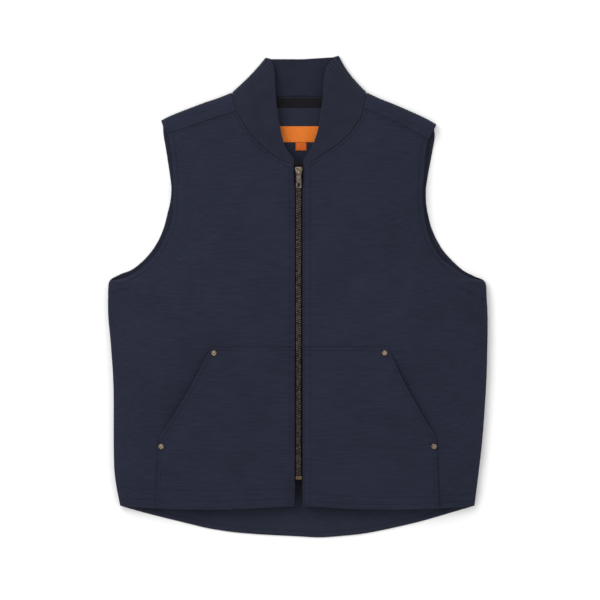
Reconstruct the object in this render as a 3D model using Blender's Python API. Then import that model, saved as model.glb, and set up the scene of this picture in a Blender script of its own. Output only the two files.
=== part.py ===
"""A utility work vest laid flat on its back, front side up.

+X runs across the vest, +Y from the tail to the collar, and +Z up from the surface that it lies on.
The origin is at the middle of its outline, on that surface. Left and right are those of a viewer
who looks down on the front. Lengths are in metres.

Upper layers (fronts, the yoke strips of the back, the front of the collar) follow one height field,
which rises from the folded edges. Lower layers lie on the surface and curl up to meet them.
"""

import math

import bmesh
import bpy
import numpy as np
from mathutils import Vector
from mathutils.bvhtree import BVHTree

# Outline of the vest laid flat
CHEST_HALF = 0.316
HEM_HALF = 0.295
SHOULDER_HALF = 0.229
SHOULDER_SHIFT = 0.002
NECK_HALF = 0.112
NECK_SHIFT = 0.003
TAIL_DROP = 0.0525
SIDE_SEAM = 0.371
ARMHOLE_TO_NECK = 0.3155
SHOULDER_DROP = {"left": 0.0465, "right": 0.053}
COLLAR_RISE = 0.0615
COLLAR_DIP = 0.006
COLLAR_WAIST = {"left": 0.003, "right": 0.005}
NECK_DROP = 0.1227
COLLAR_TOP_LOWER = {"left": 0.003, "right": 0.0}
COLLAR_CORNER_RISE = 0.013
HEM_BOW = 0.006
YOKE_AT_NECK = {"left": 0.031, "right": 0.026}
YOKE_AT_TIP = {"left": 0.022, "right": 0.026}
YOKE_BOW = {"left": 0.0, "right": 0.004}
YOKE_LEAN = 0.23
YOKE_TIP_LEAN = 0.55
BACK_NECK_DROP = 0.007

# Cloth and the space that it leaves
CLOTH = 0.003
RIB_KNIT = 0.003
PATCH = 0.0018
TAPE = 0.001
SEAM_GAP = 0.00035
PATCH_SEAT = 0.0009
TAPE_SEAT = 0.00055
BODY_THICKNESS = 0.033
FOLD_HEIGHT = 0.008
COLLAR_FOLD_HEIGHT = 0.0065
ARMHOLE_LIFT = 0.015
ARMHOLE_TOP_CLEAR = 0.008
SIDE_REACH = 0.110
SHOULDER_REACH = 0.045
COLLAR_REACH = 0.032
CURL_WIDTH = 0.012

# Zip
ZIP_X = 0.002
ZIP_OPENING_HALF = 0.0063
ZIP_TOP_HALF = 0.0080
ZIP_TOP_SPREAD = 0.035
ZIP_END_RISE = 0.050
CHAIN_HALF = 0.0043
CHAIN_THICKNESS = 0.0047
CHAIN_PROUD = 0.0006
TAPE_REACH = 0.016
TAPE_FROM_HEM = 0.004
TAPE_BELOW_TOP = 0.001
SLIDER_BELOW_TOP = 0.001
SLIDER_HALF = 0.0068
SLIDER_LENGTH = 0.0135
SLIDER_PLATE = 0.0016
SLIDER_POST_HALF = 0.0030
CHAIN_INTO_SLIDER = 0.0061
BAIL_FROM_END = 0.0016
BAIL_LENGTH = 0.0049
BAIL_HALF = 0.0011
BAIL_WINDOW = 0.0026
BAIL_WIRE = 0.0012
PULL_LENGTH = 0.0265
PULL_HALF = 0.0046
PULL_NECK_HALF = 0.0037
PULL_SLOT_LENGTH = 0.0028
PULL_SLOT_PLAY = 0.0008
PULL_WINDOW_HALF = 0.0021
PULL_WINDOW = (0.0175, 0.0233)
PULL_THICKNESS = 0.0016
STOP_HALF = 0.0050
STOP_LENGTH = 0.0060

# Pockets, measured up from the hem and out from the middle
POCKET_HEIGHT = 0.263
POCKET_MOUTH_RISE = 0.112
POCKET_TOP_REACH = {"left": 0.144, "right": 0.150}
POCKET_SIDE_REACH = 0.2355
POCKET_MOUTH_IN = 0.005
POCKET_MOUTH_BOW = 0.004
POCKET_HEM_SETBACK = 0.0012
POCKET_MOUTH_GAP = 0.008
POCKET_ROOM = 0.0015
RIVET_RADIUS = 0.0046
RIVET_HEIGHT = 0.0018
RIVET_IN_AND_DOWN = {"upper": (0.0053, 0.0090), "lower": (0.0042, 0.0130)}

# Trim inside the back neck
NECK_TAPE_WIDTH = 0.0160
NECK_TAPE_BELOW = 0.0018
NECK_TAPE_END_CLEAR = 0.0155
LOOP_X = 0.0066
LOOP_ABOVE_SEAM = 0.0002
LOOP_HALF = 0.0170
LOOP_RISE = 0.0065
LOOP_BAND = 0.0035
LOOP_THICKNESS = 0.0012
LOOP_CORNER = 0.7
LABEL_HALF = 0.035
LABEL_HEIGHT = 0.0265
LABEL_BELOW_NECK = 0.049
SIZE_TAB_HALF = 0.0090
SIZE_TAB_HEIGHT = 0.0133
SIZE_TAB_X = 0.0058
LABEL_THICKNESS = 0.0008

SIGN = {"left": -1.0, "right": 1.0}
SIDES = ("left", "right")
FULL_LENGTH = TAIL_DROP + SIDE_SEAM + ARMHOLE_TO_NECK + COLLAR_RISE
TAIL_Y = -FULL_LENGTH / 2
HEM_Y = TAIL_Y + TAIL_DROP
UNDERARM_Y = HEM_Y + SIDE_SEAM
NOTCH_Y = UNDERARM_Y + ARMHOLE_TO_NECK
COLLAR_Y = NOTCH_Y + COLLAR_RISE
ZIP_TOP_Y = NOTCH_Y - NECK_DROP
ZIP_BOTTOM_Y = HEM_Y + ZIP_END_RISE

# Columns: share up the side seam; share from the hem's half width to the chest's, left and right
SIDE_OUTLINE = (
    (0.00, 0.00, -0.03),
    (0.14, 0.44, 0.28),
    (0.30, 0.52, 0.60),
    (0.54, 0.54, 0.90),
    (0.73, 0.76, 1.00),
    (0.89, 1.00, 1.00),
    (0.96, 0.86, 0.84),
    (1.00, 0.90, 0.83),
)

# Columns: share up the armhole; share from the shoulder's half width to the chest's, for the
# back's edge left and right, and for the front's edge left and right
ARMHOLE_OUTLINE = (
    (0.04, 0.84, 0.75, 0.60, 0.62),
    (0.08, 0.53, 0.52, 0.39, 0.41),
    (0.15, 0.265, 0.285, 0.145, 0.135),
    (0.22, 0.10, 0.11, -0.01, -0.02),
    (0.30, -0.035, -0.015, -0.13, -0.125),
    (0.39, -0.12, -0.115, -0.24, -0.19),
    (0.54, -0.22, -0.184, -0.254, -0.24),
    (0.66, -0.195, -0.15, -0.26, -0.222),
    (0.80, -0.13, -0.075, -0.22, -0.19),
    (0.90, -0.08, -0.02, -0.17, -0.13),
)

# Columns: share out along the shoulder fold; share of its drop
SHOULDER_FOLD = ((0.0, 0.0), (0.20, 0.20), (0.42, 0.39), (0.65, 0.61), (0.85, 0.81), (1.0, 1.0))

# Columns: share down the neck drop; share of the neck's half width, left and right
NECK_SEAM = (
    (0.30, 0.88, 0.965),
    (0.44, 0.79, 0.865),
    (0.58, 0.68, 0.75),
    (0.74, 0.51, 0.54),
    (0.88, 0.315, 0.31),
)

# Columns: share down from the collar's fold to the zip's top; share of the neck's half width
COLLAR_EDGE = (
    (0.00, 0.466, 0.607),
    (0.05, 0.40, 0.51),
    (0.14, 0.345, 0.415),
    (0.40, 0.318, 0.37),
    (0.63, 0.262, 0.318),
    (0.82, 0.185, 0.215),
)

# Columns: share from the left side to the right; share of the tail's drop
TAIL_OUTLINE = (
    (-1.0, 0.0),
    (-0.85, 0.235),
    (-0.67, 0.485),
    (-0.47, 0.745),
    (-0.27, 0.88),
    (0.0, 0.965),
    (0.13, 1.0),
    (0.36, 0.89),
    (0.50, 0.745),
    (0.70, 0.485),
    (0.86, 0.225),
    (1.0, 0.0),
)

# Columns: share of the way from the front hem to the neck's side; share of the body's thickness
THICKNESS_PROFILE = (
    (0.00, 0.70),
    (0.08, 0.82),
    (0.25, 0.97),
    (0.50, 1.00),
    (0.72, 0.92),
    (0.85, 0.76),
    (1.00, 0.62),
    (1.09, 0.38),
)

# Columns: share of the rivet's radius; share of its height
RIVET_PROFILE = ((1.0, 0.0), (1.0, 0.45), (0.80, 0.9), (0.5, 1.0), (0.28, 0.6))

# How a surface leaves its edge: upright, or as a slope
STEEP = 0.5
SLOPE = 1.0

# The back lies flat where its curl is lower than this
FLAT_BELOW = 0.0002

# Shares of a panel's width from the middle to the outer edge, closer together where it curls
FRONT_COLUMNS = (0.0, 0.14, 0.30, 0.46, 0.60, 0.73, 0.84, 0.91, 0.955, 0.982, 0.995, 1.0)
BACK_COLUMNS = (0.0, 0.125, 0.25, 0.375, 0.5, 0.6, 0.7, 0.8, 0.88, 0.94, 0.974, 0.992, 1.0)
NOTCH_COLUMN = 0.5
YOKE_ROWS = (0.10, 0.30, 0.60, 1.0)
FOLD_ROWS = (0.0095, 0.0045, 0.0012, 0.0)
FRONT_LOWER_ROWS = 13
FRONT_ZIP_ROWS = 9
NECK_SEAM_ROWS = 9
FRONT_UPPER_ROWS = FRONT_ZIP_ROWS + NECK_SEAM_ROWS
BACK_LOWER_ROWS = 12
BACK_UPPER_ROWS = 14
COLLAR_HEIGHT_ROWS = 6
COLLAR_BACK_STEPS = 9
POCKET_ACROSS = 8
POCKET_UP = 12
ZIP_ROWS = 24
RIVET_SIDES = 12
COLLAR_WAIST_COLUMNS = 4
HEIGHT_ROUNDS = 4


def clear_scene():
    for obj in list(bpy.data.objects):
        bpy.data.objects.remove(obj)


def material(name, color, roughness, metallic=0.0):
    made = bpy.data.materials.new(name)
    made.use_nodes = True
    shader = made.node_tree.nodes["Principled BSDF"]
    shader.inputs["Base Color"].default_value = (*color, 1.0)
    shader.inputs["Roughness"].default_value = roughness
    shader.inputs["Metallic"].default_value = metallic
    return made


def smooth_curve(points, count):
    """Points at equal steps along a smooth curve through these points."""
    knots = np.array(points, float)
    padded = np.vstack([2 * knots[0] - knots[1], knots, 2 * knots[-1] - knots[-2]])
    dense = []
    for before, start, end, after in zip(padded, padded[1:], padded[2:], padded[3:]):
        for step in np.linspace(0, 1, 12, endpoint=False):
            pull_in = (end - before) / 2
            pull_out = (after - start) / 2
            dense.append(
                start * (2 * step**3 - 3 * step**2 + 1)
                + pull_in * (step**3 - 2 * step**2 + step)
                + end * (3 * step**2 - 2 * step**3)
                + pull_out * (step**3 - step**2)
            )
    dense = np.array(dense + [knots[-1]])
    travelled = np.r_[0, np.cumsum(np.linalg.norm(np.diff(dense, axis=0), axis=1))]
    wanted = np.linspace(0, travelled[-1], count)
    return np.column_stack([np.interp(wanted, travelled, column) for column in dense.T])


def between(start, end, share):
    return np.asarray(start) + (np.asarray(end) - np.asarray(start)) * share


# Outline curves in plan


def side_line(side, count):
    """The side seam, from the hem up to the armhole."""
    column = 1 + SIDES.index(side)
    points = [
        (SIGN[side] * between(HEM_HALF, CHEST_HALF, row[column]), HEM_Y + row[0] * SIDE_SEAM)
        for row in SIDE_OUTLINE
    ]
    return smooth_curve(points, count)


def shoulder_tip(side):
    return np.array([SHOULDER_SHIFT + SIGN[side] * SHOULDER_HALF, NOTCH_Y - SHOULDER_DROP[side]])


def neck_notch(side):
    return np.array([NECK_SHIFT + SIGN[side] * NECK_HALF, NOTCH_Y])


def yoke_neck_end(side):
    """Where the forward shoulder seam meets the neck seam."""
    return neck_notch(side) + (-SIGN[side] * YOKE_AT_NECK[side] * YOKE_LEAN, -YOKE_AT_NECK[side])


def yoke_tip_end(side):
    """Where the forward shoulder seam meets the armhole."""
    return shoulder_tip(side) + (-SIGN[side] * YOKE_AT_TIP[side] * YOKE_TIP_LEAN, -YOKE_AT_TIP[side])


def armhole_line(side, layer, count):
    """The armhole's edge on the back or the front layer, from the side seam up."""
    column = 1 + SIDES.index(side) + 2 * ("back", "front").index(layer)
    end = shoulder_tip(side) if layer == "back" else yoke_tip_end(side)
    height = NOTCH_Y - SHOULDER_DROP[side] - UNDERARM_Y
    points = [side_line(side, 2)[-1]]
    for row in ARMHOLE_OUTLINE:
        if UNDERARM_Y + row[0] * height > end[1] - ARMHOLE_TOP_CLEAR:
            break
        across = between(SHOULDER_HALF, CHEST_HALF, row[column])
        points.append((SIGN[side] * across, UNDERARM_Y + row[0] * height))
    return smooth_curve(points + [end], count)


def fold_line(side, shares):
    """The shoulder's folded edge, from the neck's side (0) out to its tip (1)."""
    notch = neck_notch(side)
    tip = shoulder_tip(side)
    drops = np.interp(shares, *zip(*SHOULDER_FOLD))
    return np.column_stack([between(notch[0], tip[0], np.array(shares)), between(notch[1], tip[1], drops)])


def fold_outward(side):
    along = shoulder_tip(side) - neck_notch(side)
    along /= np.linalg.norm(along)
    return np.array([along[1] * -SIGN[side], along[0] * SIGN[side]])


def yoke_seam(side, shares):
    line = between(yoke_neck_end(side), yoke_tip_end(side), np.array(shares)[:, None])
    line[:, 1] += YOKE_BOW[side] * np.sin(math.pi * np.array(shares))
    return line


def front_edge_x(side, y=HEM_Y):
    """The front's edge beside the zip. The two edges draw apart round the slider at the top."""
    spread = np.clip((y - ZIP_TOP_Y + ZIP_TOP_SPREAD) / (0.5 * ZIP_TOP_SPREAD), 0, 1)
    return ZIP_X + SIGN[side] * between(ZIP_OPENING_HALF, ZIP_TOP_HALF, spread)


def zip_corner(side):
    return np.array([front_edge_x(side, ZIP_TOP_Y), ZIP_TOP_Y])


def neck_line(side, count):
    """The front neck seam, from the zip up to the forward shoulder seam."""
    column = 1 + SIDES.index(side)
    points = [
        (SIGN[side] * NECK_HALF * row[column], NOTCH_Y - NECK_DROP * row[0]) for row in NECK_SEAM
    ]
    return smooth_curve([zip_corner(side)] + points[::-1] + [yoke_neck_end(side)], count)


def hem_line(side, shares):
    """The front hem, from the zip (0) to the side seam (1)."""
    start = np.array([front_edge_x(side), HEM_Y])
    line = between(start, side_line(side, 2)[0], np.array(shares)[:, None])
    line[:, 1] -= HEM_BOW * np.sin(math.pi * np.array(shares))
    return line


def tail_line(shares):
    left, right = side_line("left", 2)[0], side_line("right", 2)[0]
    middle = smooth_curve(TAIL_OUTLINE, 60)
    drops = np.interp(shares, middle[:, 0], middle[:, 1])
    return np.column_stack(
        [np.interp(shares, (-1, 1), (left[0], right[0])), HEM_Y - TAIL_DROP * drops]
    )


def back_neck_y(x):
    """The back neck seam, a little lower in the middle than at the notches."""
    out = (np.asarray(x) - NECK_SHIFT) / NECK_HALF
    return NOTCH_Y - BACK_NECK_DROP + 0.25 * BACK_NECK_DROP * out**2


# Heights


def rise(distance, reach, sharpness):
    """0 at an edge, 1 past reach. Sharpness 0.5 starts upright, and 1 starts as a slope."""
    share = np.clip(distance / reach, 0, 1)
    return (1 - (1 - share) ** 2) ** sharpness


def body_height(y):
    """Height of the upper layer far from any edge."""
    share = (np.asarray(y) - HEM_Y) / (NOTCH_Y - HEM_Y)
    return BODY_THICKNESS * np.interp(share, *smooth_curve(THICKNESS_PROFILE, 80).T)


def border(points, heights, reaches, sharpness):
    """Rows of x, y, edge height, reach and sharpness along an edge; the last three blend along it."""
    shares = np.linspace(0, 1, len(points))
    columns = [np.interp(shares, np.linspace(0, 1, len(c)), c) for c in (heights, reaches, sharpness)]
    return np.column_stack([points, *columns])


def upper_border(side):
    """The edge that the upper layer rises from: side seam, armhole, shoulder fold, collar fold."""
    return np.vstack(
        [
            border(side_line(side, 60), (FOLD_HEIGHT,), (SIDE_REACH,), (STEEP,)),
            border(
                armhole_line(side, "front", 60),
                (FOLD_HEIGHT, 0.8 * ARMHOLE_LIFT, ARMHOLE_LIFT, ARMHOLE_LIFT, 0.85 * ARMHOLE_LIFT),
                (SIDE_REACH, SIDE_REACH, 0.8 * SIDE_REACH, SHOULDER_REACH),
                (STEEP, 0.85, SLOPE, SLOPE, 0.7),
            ),
            border(
                fold_line(side, np.linspace(1, 0, 30)),
                (FOLD_HEIGHT,),
                (SHOULDER_REACH,),
                (STEEP,),
            ),
            border(
                collar_fold(side, np.linspace(0, 1, 20)),
                (FOLD_HEIGHT, COLLAR_FOLD_HEIGHT),
                (SHOULDER_REACH, COLLAR_REACH),
                (STEEP,),
            ),
        ]
    )


def lower_border(side):
    """The edge that the lower layer curls up to. It lies flat along the armhole."""
    return np.vstack(
        [
            border(side_line(side, 60), (FOLD_HEIGHT,), (CURL_WIDTH,), (STEEP,)),
            border(
                armhole_line(side, "back", 60),
                (FOLD_HEIGHT, 0.3 * FOLD_HEIGHT, 0, 0, 0, 0, 0, 0),
                (CURL_WIDTH,),
                (STEEP,),
            ),
        ]
    )


def field_height(points, edges, middle):
    """Heights at these plan points, from the nearest point of the edges towards the middle's height."""
    points = np.asarray(points)
    away = np.linalg.norm(points[:, None, :] - edges[None, :, :2], axis=2)
    nearest = away.argmin(axis=1)
    distance = away[np.arange(len(points)), nearest]
    edge, reach, sharpness = edges[nearest, 2], edges[nearest, 3], edges[nearest, 4]
    return edge + (middle - edge) * rise(distance, reach, sharpness)


def upper_height(side, points):
    points = np.asarray(points)
    return field_height(points, upper_border(side), body_height(points[:, 1]))


def lower_height(points):
    points = np.asarray(points)
    edges = np.vstack([lower_border("left"), lower_border("right")])
    return field_height(points, edges, 0.0)


# Solids from sheets


def coons(bottom, top, inner, outer, shares):
    """A grid of plan points inside four edge curves, rows going up, columns at these shares across."""
    across = np.asarray(shares)[None, :, None]
    up = np.linspace(0, 1, len(inner))[:, None, None]
    ruled_across = inner[:, None] * (1 - across) + outer[:, None] * across
    ruled_up = bottom[None] * (1 - up) + top[None] * up
    corners = (
        bottom[0] * (1 - across) * (1 - up)
        + bottom[-1] * across * (1 - up)
        + top[0] * (1 - across) * up
        + top[-1] * across * up
    )
    return ruled_across + ruled_up - corners


def relax_heights(grid, heights, rounds):
    """Evens out creases inside a grid's heights, with its four edges held."""
    heights = heights.copy()
    for _ in range(rounds):
        mean = (heights[:-2, 1:-1] + heights[2:, 1:-1] + heights[1:-1, :-2] + heights[1:-1, 2:]) / 4
        heights[1:-1, 1:-1] = between(heights[1:-1, 1:-1], mean, 0.5)
    return np.dstack([grid, heights])


def grid_faces(rows, columns, offset=0):
    return [
        tuple(offset + row * columns + column + step for step in (0, 1, columns + 1, columns))
        for row in range(rows - 1)
        for column in range(columns - 1)
    ]


def sheet_normals(points, faces):
    total = np.zeros_like(points)
    for face in faces:
        corners = points[list(face)]
        normal = np.cross(corners[2] - corners[0], corners[3] - corners[1])
        for corner in face:
            total[corner] += normal
    return total / np.linalg.norm(total, axis=1)[:, None]


def add_object(name, points, faces, finish):
    mesh = bpy.data.meshes.new(name)
    mesh.from_pydata([tuple(point) for point in points], [], faces)
    made = bmesh.new()
    made.from_mesh(mesh)
    bmesh.ops.recalc_face_normals(made, faces=made.faces)
    made.to_mesh(mesh)
    made.free()
    mesh.materials.append(finish)
    mesh.shade_smooth()
    mesh.set_sharp_from_angle(angle=math.radians(40))
    obj = bpy.data.objects.new(name, mesh)
    bpy.context.scene.collection.objects.link(obj)
    return obj


def solid_sheet(name, points, faces, thickness, finish, inward=None):
    """A closed wall: the outer sheet, its copy moved inwards by the thickness, and their rim.

    inward holds the directions to use at some points in place of the sheet's own.
    """
    points = np.array(points, float)
    directions = -sheet_normals(points, faces)
    for index, direction in (inward or {}).items():
        directions[index] = direction
    count = len(points)
    inner = points + thickness * directions
    sides = {}
    for face in faces:
        for start, end in zip(face, face[1:] + face[:1]):
            sides[(start, end)] = True
    rim = [(end, start, start + count, end + count) for start, end in sides if (end, start) not in sides]
    back = [tuple(corner + count for corner in face[::-1]) for face in faces]
    add_object(name, np.vstack([points, inner]), list(faces) + back + rim, finish)
    return directions


def drop_onto(trees, x, y):
    """The height of the first surface below this plan point."""
    best = 0.0
    for tree in trees:
        hit = tree.ray_cast(Vector((x, y, 1.0)), Vector((0, 0, -1)))[0]
        if hit is not None:
            best = max(best, hit.z)
    return best


def tree_of(points, faces):
    return BVHTree.FromPolygons([tuple(point) for point in points], faces)


DOWN = np.array([0.0, 0.0, -1.0])
UP = np.array([0.0, 0.0, 1.0])


def build_front(side, finish):
    """One lined duck front, from the zip to the side seam and up to the forward shoulder seam."""
    lower_inner = between(
        (front_edge_x(side), HEM_Y),
        (front_edge_x(side), UNDERARM_Y),
        np.linspace(0, 1, FRONT_LOWER_ROWS + 1)[:, None],
    )
    upper_zip = np.array(
        [(front_edge_x(side, y), y) for y in np.linspace(UNDERARM_Y, ZIP_TOP_Y, FRONT_ZIP_ROWS + 1)]
    )
    upper_neck = neck_line(side, NECK_SEAM_ROWS + 1)
    inner = np.vstack([lower_inner, upper_zip[1:], upper_neck[1:]])
    outer = np.vstack(
        [
            side_line(side, FRONT_LOWER_ROWS + 1),
            armhole_line(side, "front", FRONT_UPPER_ROWS + 1)[1:],
        ]
    )
    bottom = hem_line(side, FRONT_COLUMNS)
    top = yoke_seam(side, FRONT_COLUMNS)
    top[:, 1] -= SEAM_GAP
    inner[-1], outer[-1] = top[0], top[-1]
    grid = coons(bottom, top, inner, outer, FRONT_COLUMNS)
    rows, columns = grid.shape[:2]
    heights = upper_height(side, grid.reshape(-1, 2)).reshape(rows, columns)
    seam_rows = range(FRONT_LOWER_ROWS + 1)
    heights[list(seam_rows), -1] += SEAM_GAP / 2
    points = relax_heights(grid, heights, HEIGHT_ROUNDS).reshape(-1, 3)
    faces = grid_faces(rows, columns)
    if side == "left":
        faces = [face[::-1] for face in faces]
    inward = {row * columns + columns - 1: (-SIGN[side], 0, 0) for row in seam_rows}
    inward.update({(rows - 1) * columns + column: DOWN for column in range(columns)})
    inward.update({row * columns: DOWN for row in range(rows)})
    solid_sheet(f"front_panel_{side}", points, faces, CLOTH, finish, inward)
    return tree_of(points, faces)


def back_top_line(shares):
    """The row below the shoulder folds and along the back neck seam, from left (-1) to right (1)."""
    line = []
    for share in shares:
        side = SIDES[int(share > 0)]
        if abs(share) >= NOTCH_COLUMN:
            out = (abs(share) - NOTCH_COLUMN) / (1 - NOTCH_COLUMN)
            line.append(fold_line(side, [out])[0] - FOLD_ROWS[0] * fold_outward(side))
        else:
            edges = [neck_notch(name)[0] for name in SIDES]
            x = np.interp(share, (-NOTCH_COLUMN, NOTCH_COLUMN), edges)
            line.append(np.array([x, float(back_neck_y(x))]))
    return np.array(line)


def build_back(finish):
    """The back with its tail, its sides curled up to the fronts and its shoulders wrapped forward."""
    shares = np.array([-share for share in BACK_COLUMNS[:0:-1]] + list(BACK_COLUMNS))
    sides = [
        np.vstack(
            [
                side_line(side, BACK_LOWER_ROWS + 1),
                armhole_line(side, "back", BACK_UPPER_ROWS + 1)[1:],
            ]
        )
        for side in SIDES
    ]
    top = back_top_line(shares)
    sides[0][-1], sides[1][-1] = top[0], top[-1]
    grid = coons(tail_line(shares), top, sides[0], sides[1], (shares + 1) / 2)
    rows, columns = grid.shape[:2]
    heights = lower_height(grid.reshape(-1, 2)).reshape(rows, columns)
    heights[heights < FLAT_BELOW] = 0.0
    seam_rows = list(range(BACK_LOWER_ROWS + 1))
    heights[seam_rows, 0] -= SEAM_GAP / 2
    heights[seam_rows, -1] -= SEAM_GAP / 2
    heights[-1] = 0.0
    points = list(np.dstack([grid, heights]).reshape(-1, 3))
    faces = [face[::-1] for face in grid_faces(rows, columns)]
    inward = {}
    for row in seam_rows:
        inward[row * columns] = (1, 0, 0)
        inward[row * columns + columns - 1] = (-1, 0, 0)
    neck_edges = {}
    for side in SIDES:
        picked = [i for i, share in enumerate(shares) if share * SIGN[side] >= NOTCH_COLUMN]
        outs = [(abs(shares[i]) - NOTCH_COLUMN) / (1 - NOTCH_COLUMN) for i in picked]
        previous = [(rows - 1) * columns + i for i in picked]
        notch_at = outs.index(0.0)
        neck_edge = [previous[notch_at]]
        for strip in wrap_rows(side, outs):
            start = len(points)
            points.extend(strip)
            current = list(range(start, start + len(strip)))
            for i in range(len(strip) - 1):
                faces.append((previous[i], current[i], current[i + 1], previous[i + 1]))
            previous = current
            neck_edge.append(current[notch_at])
        inward.update({index: DOWN for index in previous})
        neck_edges[side] = neck_edge
    directions = solid_sheet("back_panel", points, faces, CLOTH, finish, inward)
    points = np.array(points)
    return {side: (points[edge], directions[edge]) for side, edge in neck_edges.items()}


def wrap_rows(side, outs):
    """Rows of points that climb from the flat of the back round the shoulder fold to its seam."""
    fold = fold_line(side, outs)
    seam = yoke_seam(side, outs)
    outward = fold_outward(side)
    strips = []
    for inset in FOLD_ROWS[1:]:
        height = FOLD_HEIGHT * (1 - rise(np.full(len(outs), inset), FOLD_ROWS[0], STEEP))
        strips.append(np.column_stack([fold - inset * outward, height]))
    for share in YOKE_ROWS:
        plan = between(fold, seam, share)
        strips.append(np.column_stack([plan, upper_height(side, plan)]))
    return strips


def collar_fold_top(side):
    share = dict(zip(SIDES, COLLAR_EDGE[0][1:]))[side]
    return np.array([SIGN[side] * NECK_HALF * share, COLLAR_Y - COLLAR_TOP_LOWER[side]])


def collar_fold(side, shares):
    """The collar's folded edge, from the neck's side up to its top, drawn in a little half way."""
    shares = np.array(shares)
    line = between(neck_notch(side), collar_fold_top(side), shares[:, None])
    line[:, 0] -= SIGN[side] * COLLAR_WAIST[side] * np.sin(math.pi * shares)
    return line


def collar_front_edge(side, count):
    """The collar's free edge on its front layer, from the zip up to its fold."""
    column = 1 + SIDES.index(side)
    height = COLLAR_Y - ZIP_TOP_Y
    points = [(SIGN[side] * NECK_HALF * row[column], COLLAR_Y - height * row[0]) for row in COLLAR_EDGE]
    end = zip_corner(side) + (0, COLLAR_CORNER_RISE)
    return smooth_curve([end] + points[:0:-1] + [collar_fold_top(side)], count)


def collar_half(side, neck_edge):
    """Base and free edge of half the collar, from the zip round the fold to the middle of the back.

    Both are rows of x, y, z. It also gives the inward directions along the base.
    """
    away = SEAM_GAP * np.array([-SIGN[side], 1.0])
    fold_top = collar_fold_top(side)
    neck_points, neck_directions = neck_edge
    front_base = neck_line(side, NECK_SEAM_ROWS + 1)[:-1]
    front_free = collar_front_edge(side, NECK_SEAM_ROWS + len(YOKE_ROWS) + 1)
    base, free, inward = [], [], []
    for low, high in zip(front_base, front_free):
        base.append((*(low + away), float(upper_height(side, [low])[0])))
        free.append((*high, float(upper_height(side, [high])[0])))
        inward.append(DOWN)
    turned = neck_points[::-1], neck_directions[::-1]
    fold_count = len(YOKE_ROWS)
    for step, (point, direction) in enumerate(zip(*turned)):
        base.append((point[0] + away[0], point[1] + away[1], point[2]))
        inward.append(direction)
        if step < fold_count:
            high = front_free[NECK_SEAM_ROWS + step]
            free.append((*high, float(upper_height(side, [high])[0])))
        else:
            inset = FOLD_ROWS[::-1][step - fold_count]
            height = COLLAR_FOLD_HEIGHT * (1 - float(rise(inset, FOLD_ROWS[0], STEEP)))
            free.append((fold_top[0] - SIGN[side] * inset, fold_top[1] - 0.3 * inset, height))
    middle = 0.5 * (collar_fold_top("left")[0] + collar_fold_top("right")[0])
    start_base = base[-1][0]
    start_free = free[-1][:2]
    for share in np.linspace(0, 1, COLLAR_BACK_STEPS + 1)[1:]:
        x = between(start_base, NECK_SHIFT, share)
        base.append((x, float(back_neck_y(x)) + SEAM_GAP, 0.0))
        inward.append(UP)
        free.append((*between(start_free, (middle, COLLAR_Y - COLLAR_DIP), share), 0.0))
    return np.array(base), np.array(free), np.array(inward)


def build_collar(neck_edges, finish):
    """The rib-knit band: a front layer on each side, folded over the back one that lies below."""
    halves = {side: collar_half(side, neck_edges[side]) for side in SIDES}
    base, free, inward = (
        np.vstack([left, right[-2::-1]]) for left, right in zip(halves["left"], halves["right"])
    )
    columns = len(base)
    heights = np.linspace(0, 1, COLLAR_HEIGHT_ROWS + 1)
    points = np.vstack([between(base, free, share) for share in heights])
    steps = NECK_SEAM_ROWS + len(YOKE_ROWS) + len(FOLD_ROWS)
    for side in SIDES:
        fold_columns = np.arange(NECK_SEAM_ROWS, steps)
        if side == "right":
            fold_columns = columns - 1 - fold_columns
        away = np.abs(np.arange(columns)[:, None] - fold_columns[None]).min(axis=1)
        pull = COLLAR_WAIST[side] * np.clip(1 - away / COLLAR_WAIST_COLUMNS, 0, 1)
        waist = np.sin(math.pi * heights)[:, None] * pull[None]
        points[:, 0] -= SIGN[side] * waist.ravel()
    for side in SIDES:
        steps = NECK_SEAM_ROWS + len(YOKE_ROWS)
        picked = range(1, steps) if side == "left" else range(columns - steps, columns - 1)
        for row in range(1, COLLAR_HEIGHT_ROWS + 1):
            for column in picked:
                index = row * columns + column
                points[index, 2] = upper_height(side, [points[index, :2]])[0]
    faces = [face[::-1] for face in grid_faces(COLLAR_HEIGHT_ROWS + 1, columns)]
    solid_sheet("collar", points, faces, RIB_KNIT, finish, dict(enumerate(inward)))


def pocket_outline(side):
    """The pocket patch's four edges in plan: along the hem, the top, the zip side and the mouth side."""
    sign = SIGN[side]
    zip_side = front_edge_x(side) + sign * POCKET_HEM_SETBACK
    out_x = sign * POCKET_SIDE_REACH
    top_y = HEM_Y + POCKET_HEIGHT
    shares = np.linspace(0, 1, POCKET_ACROSS + 1)
    hem_x = between(zip_side, out_x, shares)
    hem = hem_line(side, np.linspace(0, 1, 60))
    hem_y = np.interp(sign * hem_x, sign * hem[:, 0], hem[:, 1]) + POCKET_HEM_SETBACK
    bottom = np.column_stack([hem_x, hem_y])
    top = between((zip_side, top_y), (sign * POCKET_TOP_REACH[side], top_y), shares[:, None])
    inner = between(bottom[0], top[0], np.linspace(0, 1, POCKET_UP + 1)[:, None])
    seam_steps = round(POCKET_UP * POCKET_MOUTH_RISE / POCKET_HEIGHT)
    corner = np.array([sign * (POCKET_SIDE_REACH - POCKET_MOUTH_IN), HEM_Y + POCKET_MOUTH_RISE])
    seam = between(bottom[-1], corner, np.linspace(0, 1, seam_steps + 1)[:, None])
    up_mouth = np.linspace(0, 1, POCKET_UP - seam_steps + 1)
    mouth = between(corner, top[-1], up_mouth[:, None])
    mouth[:, 0] -= sign * POCKET_MOUTH_BOW * np.sin(math.pi * up_mouth)
    return bottom, top, inner, np.vstack([seam, mouth[1:]]), shares, seam_steps


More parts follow.
